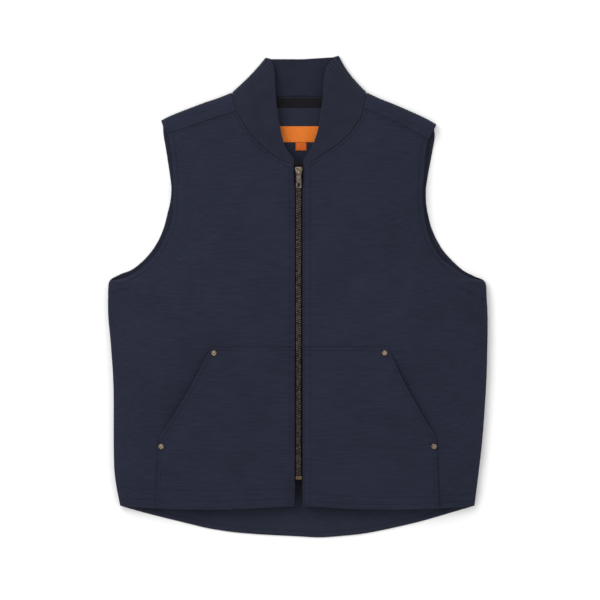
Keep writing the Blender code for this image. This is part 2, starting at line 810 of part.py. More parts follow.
def build_pocket(side, front, finish):
    """A patch pocket over the front, open along its slanted mouth, with room for a hand."""
    bottom, top, inner, outer, shares, seam_steps = pocket_outline(side)
    grid = coons(bottom, top, inner, outer, shares)
    rows, columns = grid.shape[:2]
    points = []
    for row in range(rows):
        mouth = np.clip((row - seam_steps) / (rows - 1 - seam_steps), 0, 1)
        for column in range(columns):
            across = shares[column]
            up = row / (rows - 1)
            opened = POCKET_MOUTH_GAP * math.sin(math.pi * mouth) * across**3
            room = POCKET_ROOM * 4 * up * (1 - up) * math.sin(math.pi * across)
            x, y = grid[row, column]
            points.append((x, y, drop_onto([front], x, y) + PATCH_SEAT + PATCH + opened + room))
    faces = grid_faces(rows, columns)
    if side == "left":
        faces = [face[::-1] for face in faces]
    inward = {index: DOWN for index in range(len(points))}
    solid_sheet(f"pocket_{side}", points, faces, PATCH, finish, inward)
    return tree_of(points, faces)


def build_rivet(name, place, carriers, finish):
    """A domed cap with a dimple in its middle."""
    sides = RIVET_SIDES
    under = [tuple(place)]
    for turn in np.linspace(0, 2 * math.pi, sides, endpoint=False):
        under.append(place + RIVET_RADIUS * np.array([math.cos(turn), math.sin(turn)]))
    base = max(drop_onto(carriers, *spot) for spot in under) + SEAM_GAP
    points = [
        (
            place[0] + RIVET_RADIUS * radius * math.cos(2 * math.pi * step / sides),
            place[1] + RIVET_RADIUS * radius * math.sin(2 * math.pi * step / sides),
            base + RIVET_HEIGHT * height,
        )
        for radius, height in RIVET_PROFILE
        for step in range(sides)
    ]
    faces = [
        (
            ring * sides + step,
            ring * sides + (step + 1) % sides,
            (ring + 1) * sides + (step + 1) % sides,
            (ring + 1) * sides + step,
        )
        for ring in range(len(RIVET_PROFILE) - 1)
        for step in range(sides)
    ]
    faces.append(tuple(range(sides))[::-1])
    faces.append(tuple((len(RIVET_PROFILE) - 1) * sides + step for step in range(sides)))
    add_object(name, points, faces, finish)


def rivet_places(side):
    """Just inside the pocket's mouth, near its two ends."""
    sign = SIGN[side]
    upper = np.array([sign * POCKET_TOP_REACH[side], HEM_Y + POCKET_HEIGHT])
    lower = np.array([sign * (POCKET_SIDE_REACH - POCKET_MOUTH_IN), HEM_Y + POCKET_MOUTH_RISE])
    places = {}
    for level, end in {"upper": upper, "lower": lower}.items():
        across, down = RIVET_IN_AND_DOWN[level]
        places[level] = end + (-sign * across, -down)
    return places


def strip(name, lows, highs, thickness, finish):
    """A band between two rows of points, its thickness straight down."""
    lows, highs = np.asarray(lows, float), np.asarray(highs, float)
    points = np.vstack([lows, highs])
    faces = grid_faces(2, len(lows))
    if sheet_normals(points, faces)[0][2] < 0:
        faces = [face[::-1] for face in faces]
    solid_sheet(name, points, faces, thickness, finish, {i: DOWN for i in range(len(points))})


def zip_surface(fronts, y):
    """The fronts' upper surface beside the zip, at this distance along it."""
    return min(
        drop_onto([fronts[side]], front_edge_x(side, y) + SIGN[side] * SEAM_GAP, y) for side in SIDES
    )


def build_zip(fronts, finishes):
    """Tapes behind the front edges, the closed chain, the bottom stop, the slider and its pull."""
    tape_y = np.linspace(HEM_Y + TAPE_FROM_HEM, ZIP_TOP_Y - TAPE_BELOW_TOP, ZIP_ROWS)
    for side in SIDES:
        sign = SIGN[side]
        near, far = ZIP_X + sign * (CHAIN_HALF + SEAM_GAP), ZIP_X + sign * TAPE_REACH
        lows = [(near, y, zip_surface(fronts, y) - CLOTH - TAPE_SEAT) for y in tape_y]
        highs = [
            (far, y, drop_onto([fronts[side]], far, y) - CLOTH - TAPE_SEAT) for y in tape_y
        ]
        strip(f"zip_tape_{side}", lows, highs, TAPE, finishes["tape"])
    slider_low = ZIP_TOP_Y - SLIDER_LENGTH - SLIDER_BELOW_TOP
    below_slider = np.linspace(ZIP_BOTTOM_Y + SEAM_GAP, slider_low, ZIP_ROWS - 1)
    chain_y = np.append(below_slider, slider_low + CHAIN_INTO_SLIDER)
    edges = [
        [(ZIP_X + sign * CHAIN_HALF, y, zip_surface(fronts, y) + CHAIN_PROUD) for y in chain_y]
        for sign in (-1, 1)
    ]
    strip("zip_chain", *edges, CHAIN_THICKNESS, finishes["brass"])
    stop_y = (ZIP_BOTTOM_Y - STOP_LENGTH, ZIP_BOTTOM_Y)
    edges = [
        [(ZIP_X + sign * STOP_HALF, y, zip_surface(fronts, y) + 2 * CHAIN_PROUD) for y in stop_y]
        for sign in (-1, 1)
    ]
    strip("zip_stop", *edges, CLOTH + CHAIN_PROUD, finishes["brass"])
    inside = [zip_surface(fronts, y) for y in (slider_low, chain_y[-1])]
    build_slider(slider_low, min(inside), max(inside), finishes["brass"])


def extruded(outline, half, centre_x):
    """Points and faces of a block: an outline in Y and Z, pushed out along X to both sides."""
    count = len(outline)
    points = [(centre_x + sign * half, y, z) for sign in (-1, 1) for y, z in outline]
    faces = [
        (step, (step + 1) % count, count + (step + 1) % count, count + step) for step in range(count)
    ]
    faces += [tuple(range(count))[::-1], tuple(range(count, 2 * count))]
    return points, faces


def build_slider(low_y, surface_low, surface_high, finish):
    """Two plates round the chain, joined by a post at the upper end, with a bail on top."""
    top_low = surface_high + CHAIN_PROUD + SEAM_GAP
    top = top_low + SLIDER_PLATE
    bottom_high = surface_low - CLOTH - TAPE_SEAT - TAPE - 2 * SEAM_GAP
    high_y = low_y + SLIDER_LENGTH
    post_low = low_y + CHAIN_INTO_SLIDER + SEAM_GAP
    sunk = SLIDER_PLATE / 2
    body = add_object("zip_slider", *block(low_y, high_y, top_low, top, SLIDER_HALF), finish)
    lower = block(low_y, high_y, bottom_high - SLIDER_PLATE, bottom_high, SLIDER_HALF)
    post = block(post_low, high_y - sunk, bottom_high - sunk, top_low + sunk, SLIDER_POST_HALF)
    bail_low = low_y + BAIL_FROM_END
    bail_high = bail_low + BAIL_LENGTH
    window = top + BAIL_WINDOW
    bail_view = (
        (bail_low, top - sunk),
        (bail_low, window),
        (bail_low + BAIL_WIRE, window + BAIL_WIRE),
        (bail_high - BAIL_WIRE, window + BAIL_WIRE),
        (bail_high, window),
        (bail_high, top - sunk),
        (bail_high - BAIL_WIRE, top - sunk),
        (bail_high - BAIL_WIRE, window),
        (bail_low + BAIL_WIRE, window),
        (bail_low + BAIL_WIRE, top - sunk),
    )
    forms = {"post": post, "lower_plate": lower, "bail": extruded(bail_view, BAIL_HALF, ZIP_X)}
    for name, (points, faces) in forms.items():
        form = add_object(f"{name}_form", points, faces, finish)
        form.hide_render = True
        form.display_type = "WIRE"
        joined = body.modifiers.new(name, "BOOLEAN")
        joined.operation = "UNION"
        joined.object = form
    build_pull(bail_low + BAIL_WIRE, top, finish)


def block(low_y, high_y, low_z, high_z, half):
    outline = ((low_y, low_z), (high_y, low_z), (high_y, high_z), (low_y, high_z))
    return extruded(outline, half, ZIP_X)


def build_pull(bail_inside_y, plate_top, finish):
    """The pull tab: a ring end whose bar lies under the bail, widening to an end with a window.

    Its empty stands on the bar, which is the axis that it turns on.
    """
    bar = 0.5 * PULL_THICKNESS
    axis_y = bail_inside_y + bar + SEAM_GAP
    axis_z = plate_top + bar + SEAM_GAP
    pivot = bpy.data.objects.new("pull_axis", None)
    pivot.location = (ZIP_X, axis_y, axis_z)
    bpy.context.scene.collection.objects.link(pivot)
    slot = BAIL_HALF + PULL_SLOT_PLAY
    neck_xs = (-PULL_NECK_HALF, -slot, slot, PULL_NECK_HALF)
    end_xs = (-PULL_HALF, -PULL_WINDOW_HALF, PULL_WINDOW_HALF, PULL_HALF)
    stations = (
        (bar, neck_xs),
        (-bar, neck_xs),
        (-bar - PULL_SLOT_LENGTH, neck_xs),
        (-PULL_WINDOW[0], end_xs),
        (-PULL_WINDOW[1], end_xs),
        (-PULL_LENGTH + bar, end_xs),
    )
    windows = {(1, 1), (3, 1)}
    points = [(x, y, bar) for y, row in stations for x in row]
    columns = len(neck_xs)
    faces = [
        tuple(row * columns + column + step for step in (0, columns, columns + 1, 1))
        for row in range(len(stations) - 1)
        for column in range(columns - 1)
        if (row, column) not in windows
    ]
    inward = {index: DOWN for index in range(len(points))}
    solid_sheet("zip_pull", points, faces, PULL_THICKNESS, finish, inward)
    pull = bpy.data.objects["zip_pull"]
    pull.parent = pivot


def build_neck_trim(finishes):
    """The tape over the back neck seam, the hanger loop above it, and two bare labels."""
    laid = CLOTH + SEAM_GAP
    reach = NECK_HALF - NECK_TAPE_END_CLEAR
    xs = NECK_SHIFT + np.linspace(-reach, reach, 13)
    tape_high = back_neck_y(xs) - NECK_TAPE_BELOW
    strip(
        "neck_tape",
        [(x, y - NECK_TAPE_WIDTH, laid + TAPE) for x, y in zip(xs, tape_high)],
        [(x, y, laid + TAPE) for x, y in zip(xs, tape_high)],
        TAPE,
        finishes["tape"],
    )
    base_y = float(back_neck_y(LOOP_X)) + LOOP_ABOVE_SEAM
    outer = loop_line(base_y, LOOP_HALF, LOOP_RISE)
    inner = loop_line(base_y, LOOP_HALF - LOOP_BAND, LOOP_RISE - LOOP_BAND)
    strip("hanger_loop", inner, outer, LOOP_THICKNESS, finishes["duck"])
    label_high = float(back_neck_y(0)) - LABEL_BELOW_NECK
    label_low = label_high - LABEL_HEIGHT
    build_plate("label", -LABEL_HALF, LABEL_HALF, label_low, label_high, finishes["label"])
    tab_high = label_low - SEAM_GAP
    build_plate(
        "size_tab",
        SIZE_TAB_X - SIZE_TAB_HALF,
        SIZE_TAB_X + SIZE_TAB_HALF,
        tab_high - SIZE_TAB_HEIGHT,
        tab_high,
        finishes["size_tab"],
    )


def loop_line(base_y, half, height):
    """An arch seen from above: up one leg, over, and down the other."""
    laid = RIB_KNIT + SEAM_GAP + LOOP_THICKNESS
    turns = np.linspace(math.pi, 0, 9)
    corner = LOOP_CORNER * height
    line = [(LOOP_X - half, base_y, laid)]
    for turn in turns:
        middle = LOOP_X + math.copysign(half - corner, math.cos(turn))
        x = middle + corner * math.cos(turn)
        line.append((x, base_y + height - corner + corner * math.sin(turn), laid))
    line.append((LOOP_X + half, base_y, laid))
    return line


def build_plate(name, left, right, low, high, finish):
    laid = CLOTH + SEAM_GAP + LABEL_THICKNESS
    strip(
        name,
        [(left, low, laid), (right, low, laid)],
        [(left, high, laid), (right, high, laid)],
        LABEL_THICKNESS,
        finish,
    )


def build_vest():
    clear_scene()
    finishes = {
        "duck": material("navy cotton duck", (0.022, 0.026, 0.045), 0.9),
        "rib": material("navy rib knit", (0.020, 0.024, 0.042), 0.95),
        "tape": material("black woven tape", (0.011, 0.011, 0.012), 0.9),
        "brass": material("antique brass", (0.22, 0.16, 0.09), 0.45, 1.0),
        "label": material("orange woven label", (0.60, 0.22, 0.03), 0.8),
        "size_tab": material("deep orange woven tab", (0.52, 0.13, 0.02), 0.8),
    }
    fronts = {side: build_front(side, finishes["duck"]) for side in SIDES}
    neck_edges = build_back(finishes["duck"])
    build_collar(neck_edges, finishes["rib"])
    for side in SIDES:
        patch = build_pocket(side, fronts[side], finishes["duck"])
        for level, place in rivet_places(side).items():
            build_rivet(f"rivet_{level}_{side}", place, [patch], finishes["brass"])
    build_zip(fronts, finishes)
    build_neck_trim(finishes)


build_vest()
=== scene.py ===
"""Looks of the work vest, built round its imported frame: cloth, stitching, zip, rivets and light.

Lengths are in metres. +X runs across the vest, +Y from the tail to the collar, +Z up from the floor.
Left and right are those of a viewer who looks down on the front.
"""

import math

import bmesh
import bpy
import numpy as np
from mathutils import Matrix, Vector
from mathutils.bvhtree import BVHTree
from mathutils.kdtree import KDTree


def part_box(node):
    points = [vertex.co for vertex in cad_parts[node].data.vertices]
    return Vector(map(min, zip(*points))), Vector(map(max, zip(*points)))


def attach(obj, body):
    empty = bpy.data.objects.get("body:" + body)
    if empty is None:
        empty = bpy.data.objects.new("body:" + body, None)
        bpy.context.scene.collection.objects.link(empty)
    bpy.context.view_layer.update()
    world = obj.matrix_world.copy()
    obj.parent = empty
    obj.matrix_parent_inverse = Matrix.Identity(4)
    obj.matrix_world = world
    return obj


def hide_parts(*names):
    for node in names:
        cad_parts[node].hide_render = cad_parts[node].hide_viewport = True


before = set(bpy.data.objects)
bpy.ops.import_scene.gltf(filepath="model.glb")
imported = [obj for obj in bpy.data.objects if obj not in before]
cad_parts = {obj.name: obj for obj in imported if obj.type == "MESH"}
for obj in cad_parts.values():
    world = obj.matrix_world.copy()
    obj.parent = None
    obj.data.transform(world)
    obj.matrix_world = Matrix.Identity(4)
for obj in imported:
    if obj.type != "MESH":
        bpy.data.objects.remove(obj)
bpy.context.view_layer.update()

# Camera, light and floor
# The vest lies on white paper under a large soft light, and is seen from straight above.
# The light stands a little towards the collar and the left, so folds and seams read softly.
VIEW_CENTRE = (0.0041, -0.0058)
VIEW_WIDTH = 0.995
VIEW_LENS = 0.6
SENSOR = 0.036
VEST_TOP = 0.033
PAPER_HALF = 4.0
PAPER_BELOW = 0.0004
PAPER_COLOR = "FCFCFC"
SKY_STRENGTH = 0.93
KEY_POWER = 26.0
KEY_SIZE = 1.7
KEY_PLACE = (-1.15, 1.25, 1.9)
PAPER_GRAIN = 900.0
PAPER_RELIEF = 0.0001


def linear(code):
    """A colour given as sRGB hex digits, as linear red, green, blue and alpha."""
    shares = [int(code[i : i + 2], 16) / 255 for i in (0, 2, 4)]
    return (*[s / 12.92 if s <= 0.04045 else ((s + 0.055) / 1.055) ** 2.4 for s in shares], 1.0)


def fill(tree, node, inputs):
    """Gives a node its inputs, which are numbers, or sockets to link from."""
    for name, value in inputs.items():
        if isinstance(value, bpy.types.NodeSocket):
            tree.links.new(value, node.inputs[name])
        else:
            node.inputs[name].default_value = value


def add(tree, kind, inputs=None, **settings):
    """Adds a node with these settings and inputs."""
    node = tree.nodes.new(kind)
    for name, value in settings.items():
        setattr(node, name, value)
    fill(tree, node, inputs or {})
    return node


def noise(tree, where, **inputs):
    """Noise at these coordinates, as a value from 0 to 1."""
    return add(tree, "ShaderNodeTexNoise", {"Vector": where, "Scale": 1.0, **inputs}).outputs["Fac"]


def relief(tree, height, strength, depth):
    """A normal bent by a height."""
    inputs = {"Height": height, "Strength": strength, "Distance": depth}
    return add(tree, "ShaderNodeBump", inputs).outputs["Normal"]


def new_material(name):
    """An empty node material, its tree, and its shader linked to the output."""
    made = bpy.data.materials.new(name)
    made.use_nodes = True
    tree = made.node_tree
    return made, tree, tree.nodes["Principled BSDF"]


def place(name, data):
    obj = bpy.data.objects.new(name, data)
    bpy.context.scene.collection.objects.link(obj)
    return obj


camera_data = bpy.data.cameras.new("overhead")
camera_data.lens = 1000 * VIEW_LENS
camera_data.sensor_width = 1000 * SENSOR
camera = place("overhead", camera_data)
camera.location = (*VIEW_CENTRE, VEST_TOP + VIEW_WIDTH * VIEW_LENS / SENSOR)
bpy.context.scene.camera = camera
bpy.context.scene.view_settings.view_transform = "Standard"

sky = bpy.data.worlds.new("soft_room")
sky.use_nodes = True
sky_shader = sky.node_tree.nodes["Background"]
fill(sky.node_tree, sky_shader, {"Color": (1, 1, 1, 1), "Strength": SKY_STRENGTH})
bpy.context.scene.world = sky

key_data = bpy.data.lights.new("key", "AREA")
key_data.energy = KEY_POWER
key_data.size = KEY_SIZE
key = place("key", key_data)
key.location = KEY_PLACE
key.rotation_euler = Vector(KEY_PLACE).to_track_quat("Z", "Y").to_euler()

paper_mesh = bpy.data.meshes.new("paper")
signs = ((-1, -1), (1, -1), (1, 1), (-1, 1))
corners = [(x * PAPER_HALF, y * PAPER_HALF, -PAPER_BELOW) for x, y in signs]
paper_mesh.from_pydata(corners, [], [(0, 1, 2, 3)])
paper = place("paper", paper_mesh)
# Matt white paper: its faint grain keeps the ground from looking like a blank screen
paper_finish, paper_tree, paper_shader = new_material("matt white paper")
paper_place = add(paper_tree, "ShaderNodeTexCoord").outputs["Object"]
paper_grain = noise(paper_tree, paper_place, Scale=PAPER_GRAIN)
paper_looks = {
    "Base Color": linear(PAPER_COLOR),
    "Normal": relief(paper_tree, paper_grain, 0.1, PAPER_RELIEF),
    "Roughness": 0.9,
    "Specular IOR Level": 0.1,
}
fill(paper_tree, paper_shader, paper_looks)
paper_mesh.materials.append(paper_finish)

# Outline of the vest laid flat
# The same sizes and edge curves as the frame's solids, so every piece of cloth lies where its
# solid does. Tables hold shares of the real sizes above them.
CHEST_HALF = 0.316
HEM_HALF = 0.295
SHOULDER_HALF = 0.229
SHOULDER_SHIFT = 0.002
NECK_HALF = 0.112
NECK_SHIFT = 0.003
TAIL_DROP = 0.0525
SIDE_SEAM = 0.371
ARMHOLE_TO_NECK = 0.3155
SHOULDER_DROP = {"left": 0.0465, "right": 0.053}
COLLAR_RISE = 0.0615
COLLAR_WAIST = {"left": 0.003, "right": 0.005}
NECK_DROP = 0.1227
COLLAR_TOP_LOWER = {"left": 0.003, "right": 0.0}
HEM_BOW = 0.006
YOKE_AT_NECK = {"left": 0.031, "right": 0.026}
YOKE_AT_TIP = {"left": 0.022, "right": 0.026}
YOKE_BOW = {"left": 0.0, "right": 0.004}
YOKE_LEAN = 0.23
YOKE_TIP_LEAN = 0.55
ARMHOLE_TOP_CLEAR = 0.008
ZIP_X = 0.002
ZIP_OPENING_HALF = 0.0063
ZIP_TOP_HALF = 0.0080
ZIP_TOP_SPREAD = 0.035

SIGN = {"left": -1.0, "right": 1.0}
SIDES = ("left", "right")
COLUMN = {"left": 1, "right": 2}
FULL_LENGTH = TAIL_DROP + SIDE_SEAM + ARMHOLE_TO_NECK + COLLAR_RISE
TAIL_Y = -FULL_LENGTH / 2
HEM_Y = TAIL_Y + TAIL_DROP
UNDERARM_Y = HEM_Y + SIDE_SEAM
NOTCH_Y = UNDERARM_Y + ARMHOLE_TO_NECK
COLLAR_Y = NOTCH_Y + COLLAR_RISE
ZIP_TOP_Y = NOTCH_Y - NECK_DROP

# Columns: share up the side seam; share from the hem's half width to the chest's, left and right
SIDE_OUTLINE = (
    (0.00, 0.00, -0.03),
    (0.14, 0.44, 0.28),
    (0.30, 0.52, 0.60),
    (0.54, 0.54, 0.90),
    (0.73, 0.76, 1.00),
    (0.89, 1.00, 1.00),
    (0.96, 0.86, 0.84),
    (1.00, 0.90, 0.83),
)

# Columns: share up the armhole; share from the shoulder's half width to the chest's, for the
# back's edge left and right, and for the front's edge left and right
ARMHOLE_OUTLINE = (
    (0.04, 0.84, 0.75, 0.60, 0.62),
    (0.08, 0.53, 0.52, 0.39, 0.41),
    (0.15, 0.265, 0.285, 0.145, 0.135),
    (0.22, 0.10, 0.11, -0.01, -0.02),
    (0.30, -0.035, -0.015, -0.13, -0.125),
    (0.39, -0.12, -0.115, -0.24, -0.19),
    (0.54, -0.22, -0.184, -0.254, -0.24),
    (0.66, -0.195, -0.15, -0.26, -0.222),
    (0.80, -0.13, -0.075, -0.22, -0.19),
    (0.90, -0.08, -0.02, -0.17, -0.13),
)
SHOULDER_FOLD = ((0.0, 0.0), (0.20, 0.20), (0.42, 0.39), (0.65, 0.61), (0.85, 0.81), (1.0, 1.0))

# Columns: share down the neck drop; share of the neck's half width, left and right
NECK_SEAM = (
    (0.30, 0.88, 0.965),
    (0.44, 0.79, 0.865),
    (0.58, 0.68, 0.75),
    (0.74, 0.51, 0.54),
    (0.88, 0.315, 0.31),
)

# Columns: share down from the collar's fold to the zip's top; share of the neck's half width
COLLAR_EDGE = (
    (0.00, 0.466, 0.607),
    (0.05, 0.40, 0.51),
    (0.14, 0.345, 0.415),
    (0.40, 0.318, 0.37),
    (0.63, 0.262, 0.318),
    (0.82, 0.185, 0.215),
)


def eased(start, leaving, end, arriving, share):
    """A cubic between two values with these slopes at its ends."""
    return (
        start * (2 * share**3 - 3 * share**2 + 1)
        + leaving * (share**3 - 2 * share**2 + share)
        + end * (3 * share**2 - 2 * share**3)
        + arriving * (share**3 - share**2)
    )


def travel(line):
    """The length travelled along a line at each of its points."""
    return np.r_[0, np.cumsum(np.linalg.norm(np.diff(line, axis=0), axis=1))]


def smooth_curve(points, count):
    """Points at equal steps along a smooth curve through these points."""
    knots = np.array(points, float)
    padded = np.vstack([2 * knots[0] - knots[1], knots, 2 * knots[-1] - knots[-2]])
    dense = []
    for before, start, end, after in zip(padded, padded[1:], padded[2:], padded[3:]):
        for share in np.linspace(0, 1, 12, endpoint=False):
            dense.append(eased(start, (end - before) / 2, end, (after - start) / 2, share))
    dense = np.array(dense + [knots[-1]])
    travelled = travel(dense)
    wanted = np.linspace(0, travelled[-1], count)
    return np.column_stack([np.interp(wanted, travelled, column) for column in dense.T])


def between(start, end, share):
    """A mix of two values or points."""
    return np.asarray(start) + (np.asarray(end) - np.asarray(start)) * share


def side_line(side, count):
    """The side seam, from the hem up to the armhole."""
    points = [
        (SIGN[side] * between(HEM_HALF, CHEST_HALF, row[COLUMN[side]]), HEM_Y + row[0] * SIDE_SEAM)
        for row in SIDE_OUTLINE
    ]
    return smooth_curve(points, count)


def shoulder_tip(side):
    return np.array([SHOULDER_SHIFT + SIGN[side] * SHOULDER_HALF, NOTCH_Y - SHOULDER_DROP[side]])


def neck_notch(side):
    return np.array([NECK_SHIFT + SIGN[side] * NECK_HALF, NOTCH_Y])


def yoke_neck_end(side):
    """Where the forward shoulder seam meets the neck seam."""
    return neck_notch(side) + (-SIGN[side] * YOKE_AT_NECK[side] * YOKE_LEAN, -YOKE_AT_NECK[side])


def yoke_tip_end(side):
    """Where the forward shoulder seam meets the armhole."""
    return shoulder_tip(side) + (-SIGN[side] * YOKE_AT_TIP[side] * YOKE_TIP_LEAN, -YOKE_AT_TIP[side])


def armhole_line(side, layer, count):
    """The armhole's edge on the back or the front layer, from the side seam up."""
    column = COLUMN[side] + 2 * ("back", "front").index(layer)
    end = shoulder_tip(side) if layer == "back" else yoke_tip_end(side)
    height = NOTCH_Y - SHOULDER_DROP[side] - UNDERARM_Y
    points = [side_line(side, 2)[-1]]
    for row in ARMHOLE_OUTLINE:
        if UNDERARM_Y + row[0] * height > end[1] - ARMHOLE_TOP_CLEAR:
            break
        across = between(SHOULDER_HALF, CHEST_HALF, row[column])
        points.append((SIGN[side] * across, UNDERARM_Y + row[0] * height))
    return smooth_curve(points + [end], count)


def fold_line(side, shares):
    """The shoulder's folded edge, from the neck's side (0) out to its tip (1)."""
    notch = neck_notch(side)
    tip = shoulder_tip(side)
    drops = np.interp(shares, *zip(*SHOULDER_FOLD))
    across = between(notch[0], tip[0], np.array(shares))
    return np.column_stack([across, between(notch[1], tip[1], drops)])


def yoke_seam(side, shares):
    """The forward shoulder seam, from the neck seam (0) out to the armhole (1)."""
    line = between(yoke_neck_end(side), yoke_tip_end(side), np.array(shares)[:, None])
    line[:, 1] += YOKE_BOW[side] * np.sin(math.pi * np.array(shares))
    return line


def front_edge_x(side, y=HEM_Y):
    """The front's edge beside the zip. The two edges draw apart round the slider at the top."""
    spread = np.clip((y - ZIP_TOP_Y + ZIP_TOP_SPREAD) / (0.5 * ZIP_TOP_SPREAD), 0, 1)
    return ZIP_X + SIGN[side] * between(ZIP_OPENING_HALF, ZIP_TOP_HALF, spread)


def zip_corner(side):
    return np.array([front_edge_x(side, ZIP_TOP_Y), ZIP_TOP_Y])


def neck_line(side, count):
    """The front neck seam, from the zip up to the forward shoulder seam."""
    half = SIGN[side] * NECK_HALF
    points = [(half * row[COLUMN[side]], NOTCH_Y - NECK_DROP * row[0]) for row in NECK_SEAM]
    return smooth_curve([zip_corner(side)] + points[::-1] + [yoke_neck_end(side)], count)


def hem_line(side, shares):
    """The front hem, from the zip (0) to the side seam (1)."""
    start = np.array([front_edge_x(side), HEM_Y])
    line = between(start, side_line(side, 2)[0], np.array(shares)[:, None])
    line[:, 1] -= HEM_BOW * np.sin(math.pi * np.array(shares))
    return line


def collar_fold_top(side):
    half = NECK_HALF * COLLAR_EDGE[0][COLUMN[side]]
    return np.array([SIGN[side] * half, COLLAR_Y - COLLAR_TOP_LOWER[side]])


def collar_fold(side, shares):
    """The collar's folded edge, from the neck's side up to its top, drawn in a little half way."""
    shares = np.array(shares)
    line = between(neck_notch(side), collar_fold_top(side), shares[:, None])
    line[:, 0] -= SIGN[side] * COLLAR_WAIST[side] * np.sin(math.pi * shares)
    return line


# Heights and layers of the cloth
# One height field carries the upper layers, and the lower layer curls up to meet it at the sides.
# Each piece is an outer and an inner layer of one grid, which are then drawn much finer.
BODY_THICKNESS = 0.033
FOLD_HEIGHT = 0.008
COLLAR_FOLD_HEIGHT = 0.0065
ARMHOLE_LIFT = 0.015
SIDE_REACH = 0.110
SHOULDER_REACH = 0.045
COLLAR_REACH = 0.032
STEEP = 0.5
SLOPE = 1.0
SEAM_STEP = 0.0008
RIM_SHARE = 0.3
RIM_LIMIT = 0.6
RIM_ROUND = 0.25
TINY = 1e-6

# Columns: share of the way from the front hem to the neck's side; share of the body's thickness
THICKNESS_PROFILE = (
    (0.00, 0.70),
    (0.08, 0.82),
    (0.25, 0.97),
    (0.50, 1.00),
    (0.72, 0.92),
    (0.85, 0.76),
    (1.00, 0.62),
    (1.09, 0.38),
)


def rise(distance, reach, sharpness):
    """0 at an edge, 1 past reach. Sharpness 0.5 starts upright, and 1 starts as a slope."""
    share = np.clip(distance / reach, 0, 1)
    return (1 - (1 - share) ** 2) ** sharpness


def body_height(y):
    """Height of the upper layer far from any edge."""
    share = (np.asarray(y) - HEM_Y) / (NOTCH_Y - HEM_Y)
    return BODY_THICKNESS * np.interp(share, *smooth_curve(THICKNESS_PROFILE, 80).T)


def border(points, heights, reaches, sharpness):
    """Rows of x, y, edge height, reach and sharpness along an edge; the last three blend along it."""
    shares = np.linspace(0, 1, len(points))
    columns = [np.interp(shares, np.linspace(0, 1, len(c)), c) for c in (heights, reaches, sharpness)]
    return np.column_stack([points, *columns])


def upper_border(side):
    """The edge that the upper layer rises from: side seam, armhole, shoulder fold, collar fold."""
    return np.vstack(
        [
            border(side_line(side, 60), (FOLD_HEIGHT,), (SIDE_REACH,), (STEEP,)),
            border(
                armhole_line(side, "front", 60),
                (FOLD_HEIGHT, 0.8 * ARMHOLE_LIFT, ARMHOLE_LIFT, ARMHOLE_LIFT, 0.85 * ARMHOLE_LIFT),
                (SIDE_REACH, SIDE_REACH, 0.8 * SIDE_REACH, SHOULDER_REACH),
                (STEEP, 0.85, SLOPE, SLOPE, 0.7),
            ),
            border(
                fold_line(side, np.linspace(1, 0, 30)),
                (FOLD_HEIGHT,),
                (SHOULDER_REACH,),
                (STEEP,),
            ),
            border(
                collar_fold(side, np.linspace(0, 1, 20)),
                (FOLD_HEIGHT, COLLAR_FOLD_HEIGHT),
                (SHOULDER_REACH, COLLAR_REACH),
                (STEEP,),
            ),
        ]
    )


def field_height(points, edges, middle):
    """Heights at these plan points, from the nearest point of the edges towards the middle's height."""
    points = np.asarray(points)
    away = np.linalg.norm(points[:, None, :] - edges[None, :, :2], axis=2)
    nearest = away.argmin(axis=1)
    distance = away[np.arange(len(points)), nearest]
    edge, reach, sharpness = edges[nearest, 2], edges[nearest, 3], edges[nearest, 4]
    return edge + (middle - edge) * rise(distance, reach, sharpness)


def upper_height(side, points):
    points = np.asarray(points)
    return field_height(points, upper_border(side), body_height(points[:, 1]))


def coons(bottom, top, inner, outer, shares):
    """A grid of plan points inside four edge curves, rows going up, columns at these shares across."""
    across = np.asarray(shares)[None, :, None]
    up = np.linspace(0, 1, len(inner))[:, None, None]
    ruled_across = inner[:, None] * (1 - across) + outer[:, None] * across
    ruled_up = bottom[None] * (1 - up) + top[None] * up
    corners = (
        bottom[0] * (1 - across) * (1 - up)
        + bottom[-1] * across * (1 - up)
        + top[0] * (1 - across) * up
        + top[-1] * across * up
    )
    return ruled_across + ruled_up - corners


def relax_heights(grid, heights, rounds):
    """Evens out creases inside a grid's heights, with its four edges held."""
    heights = heights.copy()
    for _ in range(rounds):
        mean = (heights[:-2, 1:-1] + heights[2:, 1:-1] + heights[1:-1, :-2] + heights[1:-1, 2:]) / 4
        heights[1:-1, 1:-1] = between(heights[1:-1, 1:-1], mean, 0.5)
    return np.dstack([grid, heights])


def grid_faces(rows, columns, offset=0):
    return [
        tuple(offset + row * columns + column + step for step in (0, 1, columns + 1, columns))
        for row in range(rows - 1)
        for column in range(columns - 1)
    ]


def sheet_normals(points, faces):
    total = np.zeros_like(points)
    for face in faces:
        corners = points[list(face)]
        normal = np.cross(corners[2] - corners[0], corners[3] - corners[1])
        for corner in face:
            total[corner] += normal
    return total / np.linalg.norm(total, axis=1)[:, None]


def two_layers(grid, faces, thickness, inward):
    """The outer grid and the inner one, a thickness in along the sheet's own directions or these."""
    points = grid.reshape(-1, 3)
    directions = -sheet_normals(points, faces)
    for index, direction in inward.items():
        directions[index] = direction
    return points, points + thickness * directions


def refine(values, cuts):
    """More rows between these, on smooth curves through them, with this many steps in each interval."""
    steps = np.diff(values, axis=0)
    middle = 0.5 * (steps[:-1] + steps[1:])
    limit = 3 * np.minimum(np.abs(steps[:-1]), np.abs(steps[1:]))
    slopes = np.concatenate([steps[:1], np.clip(middle, -limit, limit), steps[-1:]])
    rows = []
    for index, count in enumerate(cuts):
        shares = (np.arange(count) / count).reshape((-1,) + (1,) * (values.ndim - 1))
        after = index + 1
        rows.append(eased(values[index], slopes[index], values[after], slopes[after], shares))
    return np.concatenate(rows + [values[-1:]])


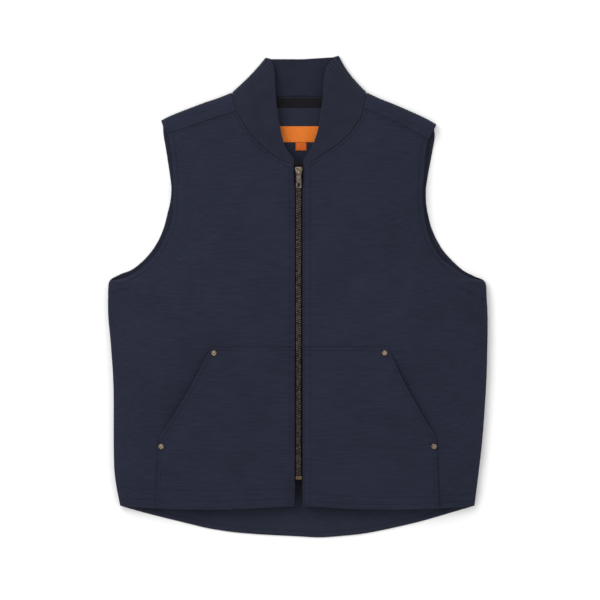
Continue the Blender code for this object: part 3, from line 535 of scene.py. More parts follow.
def cuts_for(grid, axis, step):
    """How many steps of about this length fit in each interval of a grid along one axis."""
    lengths = np.linalg.norm(np.diff(grid[..., :3], axis=axis), axis=2).max(axis=1 - axis)
    return np.maximum(1, np.ceil(lengths / step)).astype(int)


def refine_both(grid, row_cuts, column_cuts):
    return np.swapaxes(refine(np.swapaxes(refine(grid, row_cuts), 0, 1), column_cuts), 0, 1)


def refined(grid, step):
    """A grid with its rows and its columns about this step apart."""
    return refine_both(grid, cuts_for(grid, 0, step), cuts_for(grid, 1, step))


def layers_of(grid):
    """The points of the outer and the inner layer, from a grid that holds both."""
    return grid[..., :3].reshape(-1, 3), grid[..., 3:].reshape(-1, 3)


def ripples(x, y, wavelength, seed, waves=9):
    """Smooth random hills and hollows, mostly between -1 and 1."""
    chance = np.random.default_rng(seed)
    total = np.zeros_like(x)
    for _ in range(waves):
        turn, shift = chance.uniform(0, 2 * math.pi, 2)
        size = wavelength * chance.uniform(0.7, 1.6)
        total += np.sin(2 * math.pi * (x * math.cos(turn) + y * math.sin(turn)) / size + shift)
    return total / math.sqrt(2 * waves)


def line_samples(lines, step):
    """Points at short steps along these plan lines, with the length travelled along each."""
    samples = []
    for line in lines:
        line = np.asarray(line, float)[:, :2]
        travelled = travel(line)
        wanted = np.arange(0, travelled[-1], step)
        columns = [np.interp(wanted, travelled, column) for column in line.T]
        samples.append(np.column_stack(columns + [wanted]))
    return np.vstack(samples)


def from_lines(xy, lines, step=SEAM_STEP):
    """Each plan point's distance from the nearest of these lines, and how far along that it is."""
    samples = line_samples(lines, step)
    tree = KDTree(len(samples))
    for index, (x, y, _) in enumerate(samples):
        tree.insert((x, y, 0), index)
    tree.balance()
    found = [tree.find((x, y, 0)) for x, y in xy]
    nearest = np.array([hit[1] for hit in found])
    return np.array([hit[2] for hit in found]), samples[nearest, 2]


def inset(line, distance):
    """A plan line moved to its left by a distance."""
    line = np.asarray(line, float)
    along = np.gradient(line, axis=0)
    along /= np.linalg.norm(along, axis=1)[:, None]
    return line + distance * np.column_stack([-along[:, 1], along[:, 0]])


def wall(name, outer, inner, quads, finishes, ribs=None):
    """A closed cloth wall of two layers, with a rounded rim. Its inside has the last finish.

    ribs holds two lengths for each point, kept as the UV map of the piece.
    """
    outer, inner, quads = np.array(outer), np.array(inner), np.array(quads)
    count = len(outer)
    starts = quads.ravel()
    ends = np.roll(quads, -1, axis=1).ravel()
    keys = starts * count + ends
    open_edges = ~np.isin(keys, ends * count + starts)
    rim_starts, rim_ends = starts[open_edges], ends[open_edges]
    on_rim = np.zeros(count, bool)
    on_rim[rim_starts] = True
    rim = np.flatnonzero(on_rim)
    rim_place = np.zeros(count, int)
    rim_place[rim] = np.arange(len(rim))
    total = np.zeros((count, 6))
    seen = np.zeros(count)
    both = np.column_stack([outer, inner])
    for one, other in ((starts, ends), (ends, starts)):
        picked = on_rim[one] & ~on_rim[other]
        np.add.at(total, one[picked], both[other[picked]])
        np.add.at(seen, one[picked], 1)
    inside = np.where(seen[rim, None] > 0, total[rim] / np.maximum(seen[rim, None], 1), both[rim])
    reach = np.linalg.norm(inside[:, :3] - both[rim, :3], axis=1, keepdims=True)
    thick = np.linalg.norm(outer[rim] - inner[rim], axis=1, keepdims=True)
    share = np.minimum(RIM_LIMIT, RIM_SHARE * thick / np.maximum(reach, TINY))
    middle = 0.5 * (outer[rim] + inner[rim])
    drawn_in = between(both[rim], inside, share)
    outer[rim] = between(drawn_in[:, :3], middle, RIM_ROUND)
    inner[rim] = between(drawn_in[:, 3:], middle, RIM_ROUND)
    points = np.vstack([outer, inner, middle])
    middle_starts, middle_ends = (2 * count + rim_place[at] for at in (rim_starts, rim_ends))
    rim_faces = [
        np.column_stack([rim_ends, rim_starts, middle_starts, middle_ends]),
        np.column_stack([middle_ends, middle_starts, rim_starts + count, rim_ends + count]),
    ]
    faces = np.vstack([quads, quads[:, ::-1] + count] + rim_faces)
    mesh = bpy.data.meshes.new(name)
    mesh.from_pydata(points.tolist(), [], faces.tolist())
    for finish in finishes:
        mesh.materials.append(finish)
    slots = np.zeros(len(faces), int)
    slots[len(quads) : 2 * len(quads)] = len(finishes) - 1
    mesh.polygons.foreach_set("material_index", slots)
    if ribs is not None:
        both_ribs = np.vstack([ribs, ribs, ribs[rim]])
        layer = mesh.uv_layers.new(name="ribs")
        layer.uv.foreach_set("vector", both_ribs[faces.ravel()].ravel())
    first, second, third, fourth = (points - points.mean(axis=0))[faces.T]
    volume = sum((first * np.cross(*pair)).sum() for pair in ((second, third), (third, fourth)))
    if volume < 0:
        mesh.flip_normals()
    mesh.shade_smooth()
    return place(name, mesh)


# Cloth materials
# Heavy cotton duck has a plain weave with thick and thin weft threads, seen as short streaks
# across the vest. The lining is smoother and finer. Threads are drawn coarser than real ones.
DUCK_THREAD = 0.0011
SLUB_LENGTH = 0.030
SLUB_HEIGHT = 0.0019
STREAK_SHARE = 2.5
MOTTLE = 0.055
TONE_RANGE = (1.28, 2.22)
THREAD_DEPTH = 0.0004
SLUB_RISE = 0.8
WAVE_PERIOD = 0.31416


def stretched(tree, sizes):
    """Object coordinates divided by these sizes, so a texture of scale 1 repeats over them."""
    where = add(tree, "ShaderNodeTexCoord").outputs["Object"]
    scales = tuple(1 / size for size in sizes)
    made = add(tree, "ShaderNodeVectorMath", {0: where, 1: scales}, operation="MULTIPLY")
    return made.outputs["Vector"]


def bands(tree, where, pitch, axis, **inputs):
    """Even ridges across one axis, as a value from 0 to 1."""
    inputs = {"Vector": where, "Scale": WAVE_PERIOD / pitch, **inputs}
    made = add(tree, "ShaderNodeTexWave", inputs, wave_type="BANDS", bands_direction=axis)
    return made.outputs["Fac"]


def combined(tree, operation, *values, **settings):
    """The result of a math node on these numbers and sockets."""
    made = add(tree, "ShaderNodeMath", dict(enumerate(values)), operation=operation, **settings)
    return made.outputs["Value"]


def share_of(tree, value, low, high):
    """How far a value has come from low to high, from 0 to 1."""
    inputs = {"Value": value, "From Min": low, "From Max": high}
    return add(tree, "ShaderNodeMapRange", inputs, clamp=True).outputs["Result"]


def toned(tree, share, dark, light):
    """A colour between two colours given as hex digits."""
    inputs = {"Factor": share, 6: linear(dark), 7: linear(light)}
    return add(tree, "ShaderNodeMix", inputs, data_type="RGBA").outputs[2]


def woven(name, dark, light, thread, slub, roughness, sheen, bump):
    """A woven cloth: streaks of slub and mottling between two colours, and threads as bump."""
    made, tree, shader = new_material(name)
    streaks = noise(tree, stretched(tree, slub), Detail=3.0, Roughness=0.6)
    mottle = noise(tree, stretched(tree, [MOTTLE] * 3), Detail=2.0)
    mixed = combined(tree, "MULTIPLY_ADD", streaks, STREAK_SHARE, mottle)
    where = add(tree, "ShaderNodeTexCoord").outputs["Object"]
    rows = [bands(tree, where, thread, axis, Distortion=0.6, Detail=1.0) for axis in ("X", "Y")]
    raised = combined(tree, "MULTIPLY_ADD", streaks, SLUB_RISE, combined(tree, "MULTIPLY", *rows))
    looks = {
        "Base Color": toned(tree, share_of(tree, mixed, *TONE_RANGE), dark, light),
        "Normal": relief(tree, raised, bump, THREAD_DEPTH),
        "Roughness": roughness,
        "Specular IOR Level": 0.15,
        "Sheen Weight": sheen,
        "Sheen Roughness": 0.45,
    }
    fill(tree, shader, looks)
    return made


# Navy cotton duck: matt, with short level streaks where the weft is thick
slub = (SLUB_LENGTH, SLUB_HEIGHT, SLUB_HEIGHT)
duck = woven(
    "navy cotton duck",
    "1B1E2C",
    "232637",
    thread=DUCK_THREAD,
    slub=slub,
    roughness=0.9,
    sheen=0.06,
    bump=0.35,
)
# Navy lining: plainer and a little cooler than the duck, seen inside the neck and the armholes
slub = (0.012, 0.0015, 0.0015)
lining = woven(
    "navy twill lining", "1C202D", "232736", thread=0.0008, slub=slub, roughness=0.75, sheen=0.04, bump=0.2
)
# Navy thread: one tone darker than the duck, with a slight gloss on each stitch
slub = (0.002, 0.0006, 0.0006)
thread = woven(
    "navy sewing thread", "15171F", "20232F", thread=0.0004, slub=slub, roughness=0.6, sheen=0.0, bump=0.3
)

# Front panels
# Each front runs from the zip to the side seam. The cloth has low swells, small puckers along
# its seams, a furrow under each row of topstitching and a few soft creases by the side seams.
CLOTH = 0.003
SEAM_GAP = 0.00035
FRONT_COLUMNS = (0.0, 0.14, 0.30, 0.46, 0.60, 0.73, 0.84, 0.91, 0.955, 0.982, 0.995, 1.0)
FRONT_LOWER_ROWS = 13
FRONT_ZIP_ROWS = 9
NECK_SEAM_ROWS = 9
FRONT_UPPER_ROWS = FRONT_ZIP_ROWS + NECK_SEAM_ROWS
HEIGHT_ROUNDS = 4
DOWN = np.array([0.0, 0.0, -1.0])
FRONT_STEP = 0.0023
SWELL = 0.0007
SWELL_LENGTH = 0.085
PUCKER = 0.00022
PUCKER_LENGTH = 0.013
PUCKER_REACH = 0.009
PUCKER_DRIFT = 2.2
PUCKER_DRIFT_LENGTH = 0.067
PUCKER_EDGE = 0.003
FURROW = 0.0007
FURROW_HALF = 0.0014
FURROW_EDGE = 0.002
EDGE_STEP = 0.003
CALM_EDGE = 0.014
CREASE = 0.0022
CREASE_HALF = 0.0026
CREASES = {
    "left": (((-0.306, 0.005), (-0.280, 0.013)), ((-0.309, -0.030), (-0.302, -0.052))),
    "right": (
        ((0.268, 0.011), (0.281, 0.008), (0.294, 0.001)),
        ((0.289, -0.030), (0.297, -0.036), (0.303, -0.046)),
        ((0.306, -0.004), (0.307, -0.060)),
    ),
}
ZIP_STITCHES = {"left": (0.0105, 0.0150), "right": (0.0095, 0.0195)}
HEM_STITCHES = {"left": (0.0135, 0.0310), "right": (0.0085, 0.0205)}
NECK_STITCH = 0.0055
YOKE_STITCH = 0.0045
ARMHOLE_STITCH = 0.008
POCKET_STITCH = 0.0050
POCKET_EDGE_STITCH = 0.0012
POCKET_HEIGHT = 0.263
POCKET_MOUTH_RISE = 0.112
POCKET_TOP_REACH = {"left": 0.144, "right": 0.150}
POCKET_SIDE_REACH = 0.2355
POCKET_MOUTH_IN = 0.005
POCKET_MOUTH_BOW = 0.004
POCKET_HEM_SETBACK = 0.0012
POCKET_ACROSS = 8
POCKET_UP = 12


def pocket_outline(side):
    """The pocket patch's four edges in plan, its columns, and the rows below its mouth."""
    sign = SIGN[side]
    zip_side = front_edge_x(side) + sign * POCKET_HEM_SETBACK
    out_x = sign * POCKET_SIDE_REACH
    top_y = HEM_Y + POCKET_HEIGHT
    shares = np.linspace(0, 1, POCKET_ACROSS + 1)
    hem_x = between(zip_side, out_x, shares)
    hem = hem_line(side, np.linspace(0, 1, 60))
    hem_y = np.interp(sign * hem_x, sign * hem[:, 0], hem[:, 1]) + POCKET_HEM_SETBACK
    bottom = np.column_stack([hem_x, hem_y])
    top = between((zip_side, top_y), (sign * POCKET_TOP_REACH[side], top_y), shares[:, None])
    inner = between(bottom[0], top[0], np.linspace(0, 1, POCKET_UP + 1)[:, None])
    seam_steps = round(POCKET_UP * POCKET_MOUTH_RISE / POCKET_HEIGHT)
    corner = np.array([sign * (POCKET_SIDE_REACH - POCKET_MOUTH_IN), HEM_Y + POCKET_MOUTH_RISE])
    seam = between(bottom[-1], corner, np.linspace(0, 1, seam_steps + 1)[:, None])
    up_mouth = np.linspace(0, 1, POCKET_UP - seam_steps + 1)
    mouth = between(corner, top[-1], up_mouth[:, None])
    mouth[:, 0] -= sign * POCKET_MOUTH_BOW * np.sin(math.pi * up_mouth)
    return bottom, top, inner, np.vstack([seam, mouth[1:]]), shares, seam_steps


def front_seams(side):
    """Plan lines of the topstitching on one front and its pocket."""
    sign = SIGN[side]
    up = np.linspace(HEM_Y + 0.003, ZIP_TOP_Y - 0.001, 40)
    lines = [np.column_stack([np.full(40, ZIP_X + sign * away), up]) for away in ZIP_STITCHES[side]]
    hem = hem_line(side, np.linspace(0.02, 0.995, 50))
    lines += [hem + (0, away) for away in HEM_STITCHES[side]]
    lines.append(inset(neck_line(side, 60), -sign * NECK_STITCH)[3:-1])
    lines.append(yoke_seam(side, np.linspace(0.01, 0.99, 30)) - (0, YOKE_STITCH))
    lines.append(inset(armhole_line(side, "front", 90), sign * ARMHOLE_STITCH)[3:-2])
    return lines


def pocket_seams(side):
    """Plan lines of the topstitching on one pocket alone: its top, its mouth and its lower side."""
    sign = SIGN[side]
    _, top, _, outer, _, seam_steps = pocket_outline(side)
    mouth, seam = outer[seam_steps:], outer[: seam_steps + 1]
    return [
        top + (0, -POCKET_STITCH),
        inset(mouth, sign * POCKET_STITCH),
        inset(seam, sign * POCKET_EDGE_STITCH),
        inset(seam, sign * (POCKET_EDGE_STITCH + POCKET_STITCH)),
    ]


def front_grid(side):
    """The frame's grid of one front, its faces, and the set directions along its edges."""
    edge_x = front_edge_x(side)
    up = np.linspace(0, 1, FRONT_LOWER_ROWS + 1)[:, None]
    lower_zip = between((edge_x, HEM_Y), (edge_x, UNDERARM_Y), up)
    zip_ys = np.linspace(UNDERARM_Y, ZIP_TOP_Y, FRONT_ZIP_ROWS + 1)
    upper_zip = [(front_edge_x(side, y), y) for y in zip_ys[1:]]
    inner = np.vstack([lower_zip, upper_zip, neck_line(side, NECK_SEAM_ROWS + 1)[1:]])
    armhole = armhole_line(side, "front", FRONT_UPPER_ROWS + 1)
    outer = np.vstack([side_line(side, FRONT_LOWER_ROWS + 1), armhole[1:]])
    bottom = hem_line(side, FRONT_COLUMNS)
    top = yoke_seam(side, FRONT_COLUMNS)
    top[:, 1] -= SEAM_GAP
    inner[-1], outer[-1] = top[0], top[-1]
    plan = coons(bottom, top, inner, outer, FRONT_COLUMNS)
    rows, columns = plan.shape[:2]
    heights = upper_height(side, plan.reshape(-1, 2)).reshape(rows, columns)
    heights[: FRONT_LOWER_ROWS + 1, -1] += SEAM_GAP / 2
    grid = relax_heights(plan, heights, HEIGHT_ROUNDS)
    faces = grid_faces(rows, columns)
    if side == "left":
        faces = [face[::-1] for face in faces]
    inward = {row * columns + columns - 1: (-SIGN[side], 0, 0) for row in range(FRONT_LOWER_ROWS + 1)}
    inward.update({(rows - 1) * columns + column: DOWN for column in range(columns)})
    inward.update({row * columns: DOWN for row in range(rows)})
    return grid, faces, inward


def quiet_places(side):
    """Plan lines near which the cloth keeps its frame height: its zip, its seams and its hem."""
    return [
        [(front_edge_x(side), HEM_Y), (front_edge_x(side), ZIP_TOP_Y)],
        neck_line(side, 20),
        yoke_seam(side, np.linspace(0, 1, 12)),
        armhole_line(side, "front", 30),
        side_line(side, 20),
        hem_line(side, np.linspace(0, 1, 12)),
    ]


def near(distance, width):
    """1 on a line and falling to 0 beside it, in a soft bell of this half width."""
    return np.exp(-((distance / width) ** 2))


def front_relief(side, xy):
    """How far the cloth of one front stands up or down at these plan points, and its furrows."""
    from_edge, _ = from_lines(xy, quiet_places(side), EDGE_STEP)
    from_seam, along = from_lines(xy, seams[side])
    from_crease, _ = from_lines(xy, CREASES[side])
    x, y = xy.T
    swell = SWELL * np.clip(from_edge / CALM_EDGE, 0, 1) ** 2 * ripples(x, 0.7 * y, SWELL_LENGTH, 11)
    drift = PUCKER_DRIFT * np.sin(2 * math.pi * along / PUCKER_DRIFT_LENGTH)
    wave = np.sin(2 * math.pi * along / PUCKER_LENGTH + drift)
    pucker = PUCKER * wave * near(from_seam, PUCKER_REACH) * np.clip(from_edge / PUCKER_EDGE, 0, 1)
    furrow = FURROW * near(from_seam, FURROW_HALF) * np.clip(from_edge / FURROW_EDGE, 0, 1)
    return swell + pucker - CREASE * near(from_crease, CREASE_HALF), furrow


def relief_wall(name, side, layers, step, furrow_share, finishes):
    """A wall of the upper cloth, drawn fine, with its swells, puckers, creases and furrows."""
    fine = refined(layers, step)
    outer, inner = layers_of(fine)
    lift, furrow = front_relief(side, outer[:, :2])
    outer[:, 2] += lift - furrow_share * furrow
    inner[:, 2] += lift
    return wall(name, outer, inner, grid_faces(*fine.shape[:2]), finishes)


fronts = {}
seams = {side: front_seams(side) + pocket_seams(side) for side in SIDES}
for side in SIDES:
    grid, faces, inward = front_grid(side)
    outer, inner = two_layers(grid, faces, CLOTH, inward)
    both = np.dstack([outer.reshape(grid.shape), inner.reshape(grid.shape)])
    fronts[side] = relief_wall(f"duck_front_{side}", side, both, FRONT_STEP, 1.0, [duck, lining])
    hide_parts(f"front_panel_{side}")
    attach(fronts[side], "vest")

# Back panel
# The back lies on the floor, curls up at the side seams and wraps over both shoulders to the
# forward shoulder seams. Its inside is lined, and its tail has a turned hem.
FLAT_BELOW = 0.0002
BACK_COLUMNS = (0.0, 0.125, 0.25, 0.375, 0.5, 0.6, 0.7, 0.8, 0.88, 0.94, 0.974, 0.992, 1.0)
NOTCH_COLUMN = 0.5
YOKE_ROWS = (0.10, 0.30, 0.60, 1.0)
FOLD_ROWS = (0.0095, 0.0045, 0.0012, 0.0)
BACK_LOWER_ROWS = 12
BACK_UPPER_ROWS = 14

# Columns: share from the left side to the right; share of the tail's drop
TAIL_OUTLINE = (
    (-1.0, 0.0),
    (-0.85, 0.235),
    (-0.67, 0.485),
    (-0.47, 0.745),
    (-0.27, 0.88),
    (0.0, 0.965),
    (0.13, 1.0),
    (0.36, 0.89),
    (0.50, 0.745),
    (0.70, 0.485),
    (0.86, 0.225),
    (1.0, 0.0),
)
BACK_NECK_DROP = 0.007
CURL_WIDTH = 0.012
BACK_STEP = 0.0036
WRAP_STEP = 0.0016
TAIL_STITCH = 0.0090
TAIL_SWELL = 0.0005
TAIL_SWELL_LENGTH = 0.05
TAIL_CALM_EDGE = 0.01
TAIL_REACH = 0.03
TAIL_FURROW_HALF = 0.00196


def fold_outward(side):
    """The direction in plan that points straight out of the shoulder's folded edge."""
    along = shoulder_tip(side) - neck_notch(side)
    along /= np.linalg.norm(along)
    return np.array([along[1] * -SIGN[side], along[0] * SIGN[side]])


def tail_line(shares):
    """The back's lower edge, from the left side seam (-1) to the right one (1)."""
    ends = [side_line(side, 2)[0][0] for side in SIDES]
    drops = np.interp(shares, *smooth_curve(TAIL_OUTLINE, 60).T)
    return np.column_stack([np.interp(shares, (-1, 1), ends), HEM_Y - TAIL_DROP * drops])


def back_neck_y(x):
    """The back neck seam, a little lower in the middle than at the notches."""
    out = (np.asarray(x) - NECK_SHIFT) / NECK_HALF
    return NOTCH_Y - BACK_NECK_DROP + 0.25 * BACK_NECK_DROP * out**2


def lower_border(side):
    """The edge that the lower layer curls up to. It lies flat along the armhole."""
    return np.vstack(
        [
            border(side_line(side, 60), (FOLD_HEIGHT,), (CURL_WIDTH,), (STEEP,)),
            border(
                armhole_line(side, "back", 60),
                (FOLD_HEIGHT, 0.3 * FOLD_HEIGHT, 0, 0, 0, 0, 0, 0),
                (CURL_WIDTH,),
                (STEEP,),
            ),
        ]
    )


def lower_height(points):
    edges = np.vstack([lower_border(side) for side in SIDES])
    return field_height(points, edges, 0.0)


def back_top_line(shares):
    """The row below the shoulder folds and along the back neck seam, from left (-1) to right (1)."""
    line = []
    for share in shares:
        side = SIDES[int(share > 0)]
        if abs(share) >= NOTCH_COLUMN:
            out = (abs(share) - NOTCH_COLUMN) / (1 - NOTCH_COLUMN)
            line.append(fold_line(side, [out])[0] - FOLD_ROWS[0] * fold_outward(side))
        else:
            edges = [neck_notch(name)[0] for name in SIDES]
            x = np.interp(share, (-NOTCH_COLUMN, NOTCH_COLUMN), edges)
            line.append(np.array([x, float(back_neck_y(x))]))
    return np.array(line)


def wrap_rows(side, outs):
    """Rows of points that climb from the flat of the back round the shoulder fold to its seam."""
    fold = fold_line(side, outs)
    seam = yoke_seam(side, outs)
    outward = fold_outward(side)
    strips = []
    for drawn_in in FOLD_ROWS[1:]:
        height = FOLD_HEIGHT * (1 - rise(np.full(len(outs), drawn_in), FOLD_ROWS[0], STEEP))
        strips.append(np.column_stack([fold - drawn_in * outward, height]))
    for share in YOKE_ROWS:
        plan = between(fold, seam, share)
        strips.append(np.column_stack([plan, upper_height(side, plan)]))
    return strips


def back_grid():
    """The frame's grid of the back's flat part and the wrapped strip over each shoulder."""
    shares = np.array([-share for share in BACK_COLUMNS[:0:-1]] + list(BACK_COLUMNS))
    sides = []
    for side in SIDES:
        armhole = armhole_line(side, "back", BACK_UPPER_ROWS + 1)
        sides.append(np.vstack([side_line(side, BACK_LOWER_ROWS + 1), armhole[1:]]))
    top = back_top_line(shares)
    sides[0][-1], sides[1][-1] = top[0], top[-1]
    plan = coons(tail_line(shares), top, sides[0], sides[1], (shares + 1) / 2)
    rows, columns = plan.shape[:2]
    heights = lower_height(plan.reshape(-1, 2)).reshape(rows, columns)
    heights[heights < FLAT_BELOW] = 0.0
    heights[: BACK_LOWER_ROWS + 1, [0, -1]] -= SEAM_GAP / 2
    heights[-1] = 0.0
    points = list(np.dstack([plan, heights]).reshape(-1, 3))
    faces = [face[::-1] for face in grid_faces(rows, columns)]
    inward = {}
    for row in range(BACK_LOWER_ROWS + 1):
        inward[row * columns] = (1, 0, 0)
        inward[row * columns + columns - 1] = (-1, 0, 0)
    strips = {}
    for side in SIDES:
        picked = [i for i, share in enumerate(shares) if share * SIGN[side] >= NOTCH_COLUMN]
        outs = [(abs(shares[i]) - NOTCH_COLUMN) / (1 - NOTCH_COLUMN) for i in picked]
        previous = [(rows - 1) * columns + i for i in picked]
        used = [previous]
        for strip in wrap_rows(side, outs):
            current = list(range(len(points), len(points) + len(strip)))
            points.extend(strip)
            for i in range(len(strip) - 1):
                faces.append((previous[i], current[i], current[i + 1], previous[i + 1]))
            previous = current
            used.append(current)
        inward.update({index: DOWN for index in previous})
        strips[side] = (picked, np.array(used), outs.index(0.0))
    outer, inner = two_layers(np.array(points), faces, CLOTH, inward)
    return np.column_stack([outer, inner]), (rows, columns), strips


coarse, back_shape, strips = back_grid()
main = coarse[: back_shape[0] * back_shape[1]].reshape(*back_shape, 6)
column_cuts = cuts_for(main, 1, BACK_STEP)
fine = refine_both(main, cuts_for(main, 0, BACK_STEP), column_cuts)
fine_rows, fine_columns = fine.shape[:2]
column_at = np.r_[0, np.cumsum(column_cuts)]
points = [fine.reshape(-1, 6)]
quads = [np.array(grid_faces(fine_rows, fine_columns))]
count = fine_rows * fine_columns
for side in SIDES:
    picked, used, _ = strips[side]
    strip = coarse[used]
    strip_fine = refine_both(strip, cuts_for(strip, 0, WRAP_STEP), column_cuts[picked[0] : picked[-1]])
    width = strip_fine.shape[1]
    added = (len(strip_fine) - 1) * width
    top_row = (fine_rows - 1) * fine_columns + column_at[picked[0]] + np.arange(width)
    index = np.vstack([top_row[None], count + np.arange(added).reshape(-1, width)])
    corners = [index[:-1, :-1], index[:-1, 1:], index[1:, 1:], index[1:, :-1]]
    quads.append(np.stack(corners, axis=2).reshape(-1, 4))
    points.append(strip_fine[1:].reshape(-1, 6))
    count += added
outer, inner = layers_of(np.vstack(points))
tail_hem = tail_line(np.linspace(-0.985, 0.985, 120))
tail_seams = [inset(tail_hem, TAIL_STITCH)]
low = (inner[:, 2] < 1.4 * CLOTH) & (inner[:, 1] < HEM_Y + TAIL_REACH)
tail = inner[low, :2]
from_edge, _ = from_lines(tail, [tail_hem], EDGE_STEP)
from_seam, _ = from_lines(tail, tail_seams)
swell = TAIL_SWELL * ripples(*tail.T, TAIL_SWELL_LENGTH, 23) * np.clip(from_edge / TAIL_CALM_EDGE, 0, 1)
inner[low, 2] += swell - FURROW * near(from_seam, TAIL_FURROW_HALF)
back = wall("duck_back", outer, inner, np.vstack(quads), [duck, lining])
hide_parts("back_panel")
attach(back, "vest")

# Rib-knit collar
# One band round the neck, folded over itself at both sides, with upright ribs.
COLLAR_DIP = 0.006
RIB_KNIT = 0.003
COLLAR_HEIGHT_ROWS = 6
COLLAR_BACK_STEPS = 9
COLLAR_WAIST_COLUMNS = 4
UP = np.array([0.0, 0.0, 1.0])
COLLAR_CORNER_RISE = 0.013
RIB_PITCH = 0.0026
COLLAR_STEP = 0.0017
COLLAR_SWELL = 0.00045
COLLAR_SWELL_LENGTH = 0.03
COLLAR_CALM_ROWS = 6
RIB_DEPTH = 0.0006
LOOP_PITCH = 0.00156
LOOP_SHARE = 0.2
RIB_MOTTLE = 0.02


def collar_front_edge(side, count):
    """The collar's free edge on its front layer, from the zip up to its fold."""
    half = SIGN[side] * NECK_HALF
    height = COLLAR_Y - ZIP_TOP_Y
    points = [(half * row[COLUMN[side]], COLLAR_Y - height * row[0]) for row in COLLAR_EDGE]
    end = zip_corner(side) + (0, COLLAR_CORNER_RISE)
    return smooth_curve([end] + points[:0:-1] + [collar_fold_top(side)], count)


def collar_half(side, neck_edge):
    """Base and free edge of half the collar, from the zip round the fold to the middle of the back.

    Both are rows of x, y, z. It also gives the inward directions along the base.
    """
    away = SEAM_GAP * np.array([-SIGN[side], 1.0])
    fold_top = collar_fold_top(side)
    neck_points, neck_directions = neck_edge
    front_base = neck_line(side, NECK_SEAM_ROWS + 1)[:-1]
    front_free = collar_front_edge(side, NECK_SEAM_ROWS + len(YOKE_ROWS) + 1)
    base, free, inward = [], [], []
    for low, high in zip(front_base, front_free):
        base.append((*(low + away), float(upper_height(side, [low])[0])))
        free.append((*high, float(upper_height(side, [high])[0])))
        inward.append(DOWN)
    turned = neck_points[::-1], neck_directions[::-1]
    fold_count = len(YOKE_ROWS)
    for step, (point, direction) in enumerate(zip(*turned)):
        base.append((point[0] + away[0], point[1] + away[1], point[2]))
        inward.append(direction)
        if step < fold_count:
            high = front_free[NECK_SEAM_ROWS + step]
            free.append((*high, float(upper_height(side, [high])[0])))
        else:
            drawn_in = FOLD_ROWS[::-1][step - fold_count]
            height = COLLAR_FOLD_HEIGHT * (1 - float(rise(drawn_in, FOLD_ROWS[0], STEEP)))
            free.append((fold_top[0] - SIGN[side] * drawn_in, fold_top[1] - 0.3 * drawn_in, height))
    middle = 0.5 * (collar_fold_top("left")[0] + collar_fold_top("right")[0])
    start_base = base[-1][0]
    start_free = free[-1][:2]
    for share in np.linspace(0, 1, COLLAR_BACK_STEPS + 1)[1:]:
        x = between(start_base, NECK_SHIFT, share)
        base.append((x, float(back_neck_y(x)) + SEAM_GAP, 0.0))
        inward.append(UP)
        free.append((*between(start_free, (middle, COLLAR_Y - COLLAR_DIP), share), 0.0))
    return np.array(base), np.array(free), np.array(inward)


def collar_grid(neck_edges):
    """The frame's grid of the band, from its base up to its free edge, and its base's directions."""
    halves = {side: collar_half(side, neck_edges[side]) for side in SIDES}
    base, free, inward = (
        np.vstack([left, right[-2::-1]]) for left, right in zip(halves["left"], halves["right"])
    )
    columns = len(base)
    heights = np.linspace(0, 1, COLLAR_HEIGHT_ROWS + 1)
    points = np.vstack([between(base, free, share) for share in heights])
    steps = NECK_SEAM_ROWS + len(YOKE_ROWS) + len(FOLD_ROWS)
    for side in SIDES:
        fold_columns = np.arange(NECK_SEAM_ROWS, steps)
        if side == "right":
            fold_columns = columns - 1 - fold_columns
        away = np.abs(np.arange(columns)[:, None] - fold_columns[None]).min(axis=1)
        pull = COLLAR_WAIST[side] * np.clip(1 - away / COLLAR_WAIST_COLUMNS, 0, 1)
        waist = np.sin(math.pi * heights)[:, None] * pull[None]
        points[:, 0] -= SIGN[side] * waist.ravel()
    for side in SIDES:
        steps = NECK_SEAM_ROWS + len(YOKE_ROWS)
        picked = range(1, steps) if side == "left" else range(columns - steps, columns - 1)
        for row in range(1, COLLAR_HEIGHT_ROWS + 1):
            for column in picked:
                index = row * columns + column
                points[index, 2] = upper_height(side, [points[index, :2]])[0]
    faces = [face[::-1] for face in grid_faces(COLLAR_HEIGHT_ROWS + 1, columns)]
    outer, inner = two_layers(points, faces, RIB_KNIT, dict(enumerate(inward)))
    return np.column_stack([outer, inner]).reshape(COLLAR_HEIGHT_ROWS + 1, columns, 6)


# Navy rib knit: soft upright ridges round the neck, with painted shade darkening the grooves between them,
# mixed with a random mottle
rib, rib_tree, rib_shader = new_material("navy rib knit")
own = add(rib_tree, "ShaderNodeUVMap", uv_map="ribs").outputs["UV"]
ridges = bands(rib_tree, own, RIB_PITCH, "X", Distortion=0.5, Detail=1.0, **{"Detail Scale": 0.3})
loops = bands(rib_tree, own, LOOP_PITCH, "Y")
mottle = noise(rib_tree, stretched(rib_tree, [RIB_MOTTLE] * 3), Detail=3.0)
# Painted shade: the colour darkens in each groove between the ribs, times a random mottle
groove_shade_and_mottle = combined(rib_tree, "MULTIPLY", ridges, mottle, use_clamp=True)
raised = combined(rib_tree, "MULTIPLY_ADD", loops, LOOP_SHARE, ridges)
rib_looks = {
    "Base Color": toned(rib_tree, groove_shade_and_mottle, "1C1E2A", "2B2E3F"),
    "Normal": relief(rib_tree, raised, 0.5, RIB_DEPTH),
    "Roughness": 0.95,
    "Specular IOR Level": 0.1,
    "Sheen Weight": 0.08,
    "Sheen Roughness": 0.5,
}
fill(rib_tree, rib_shader, rib_looks)

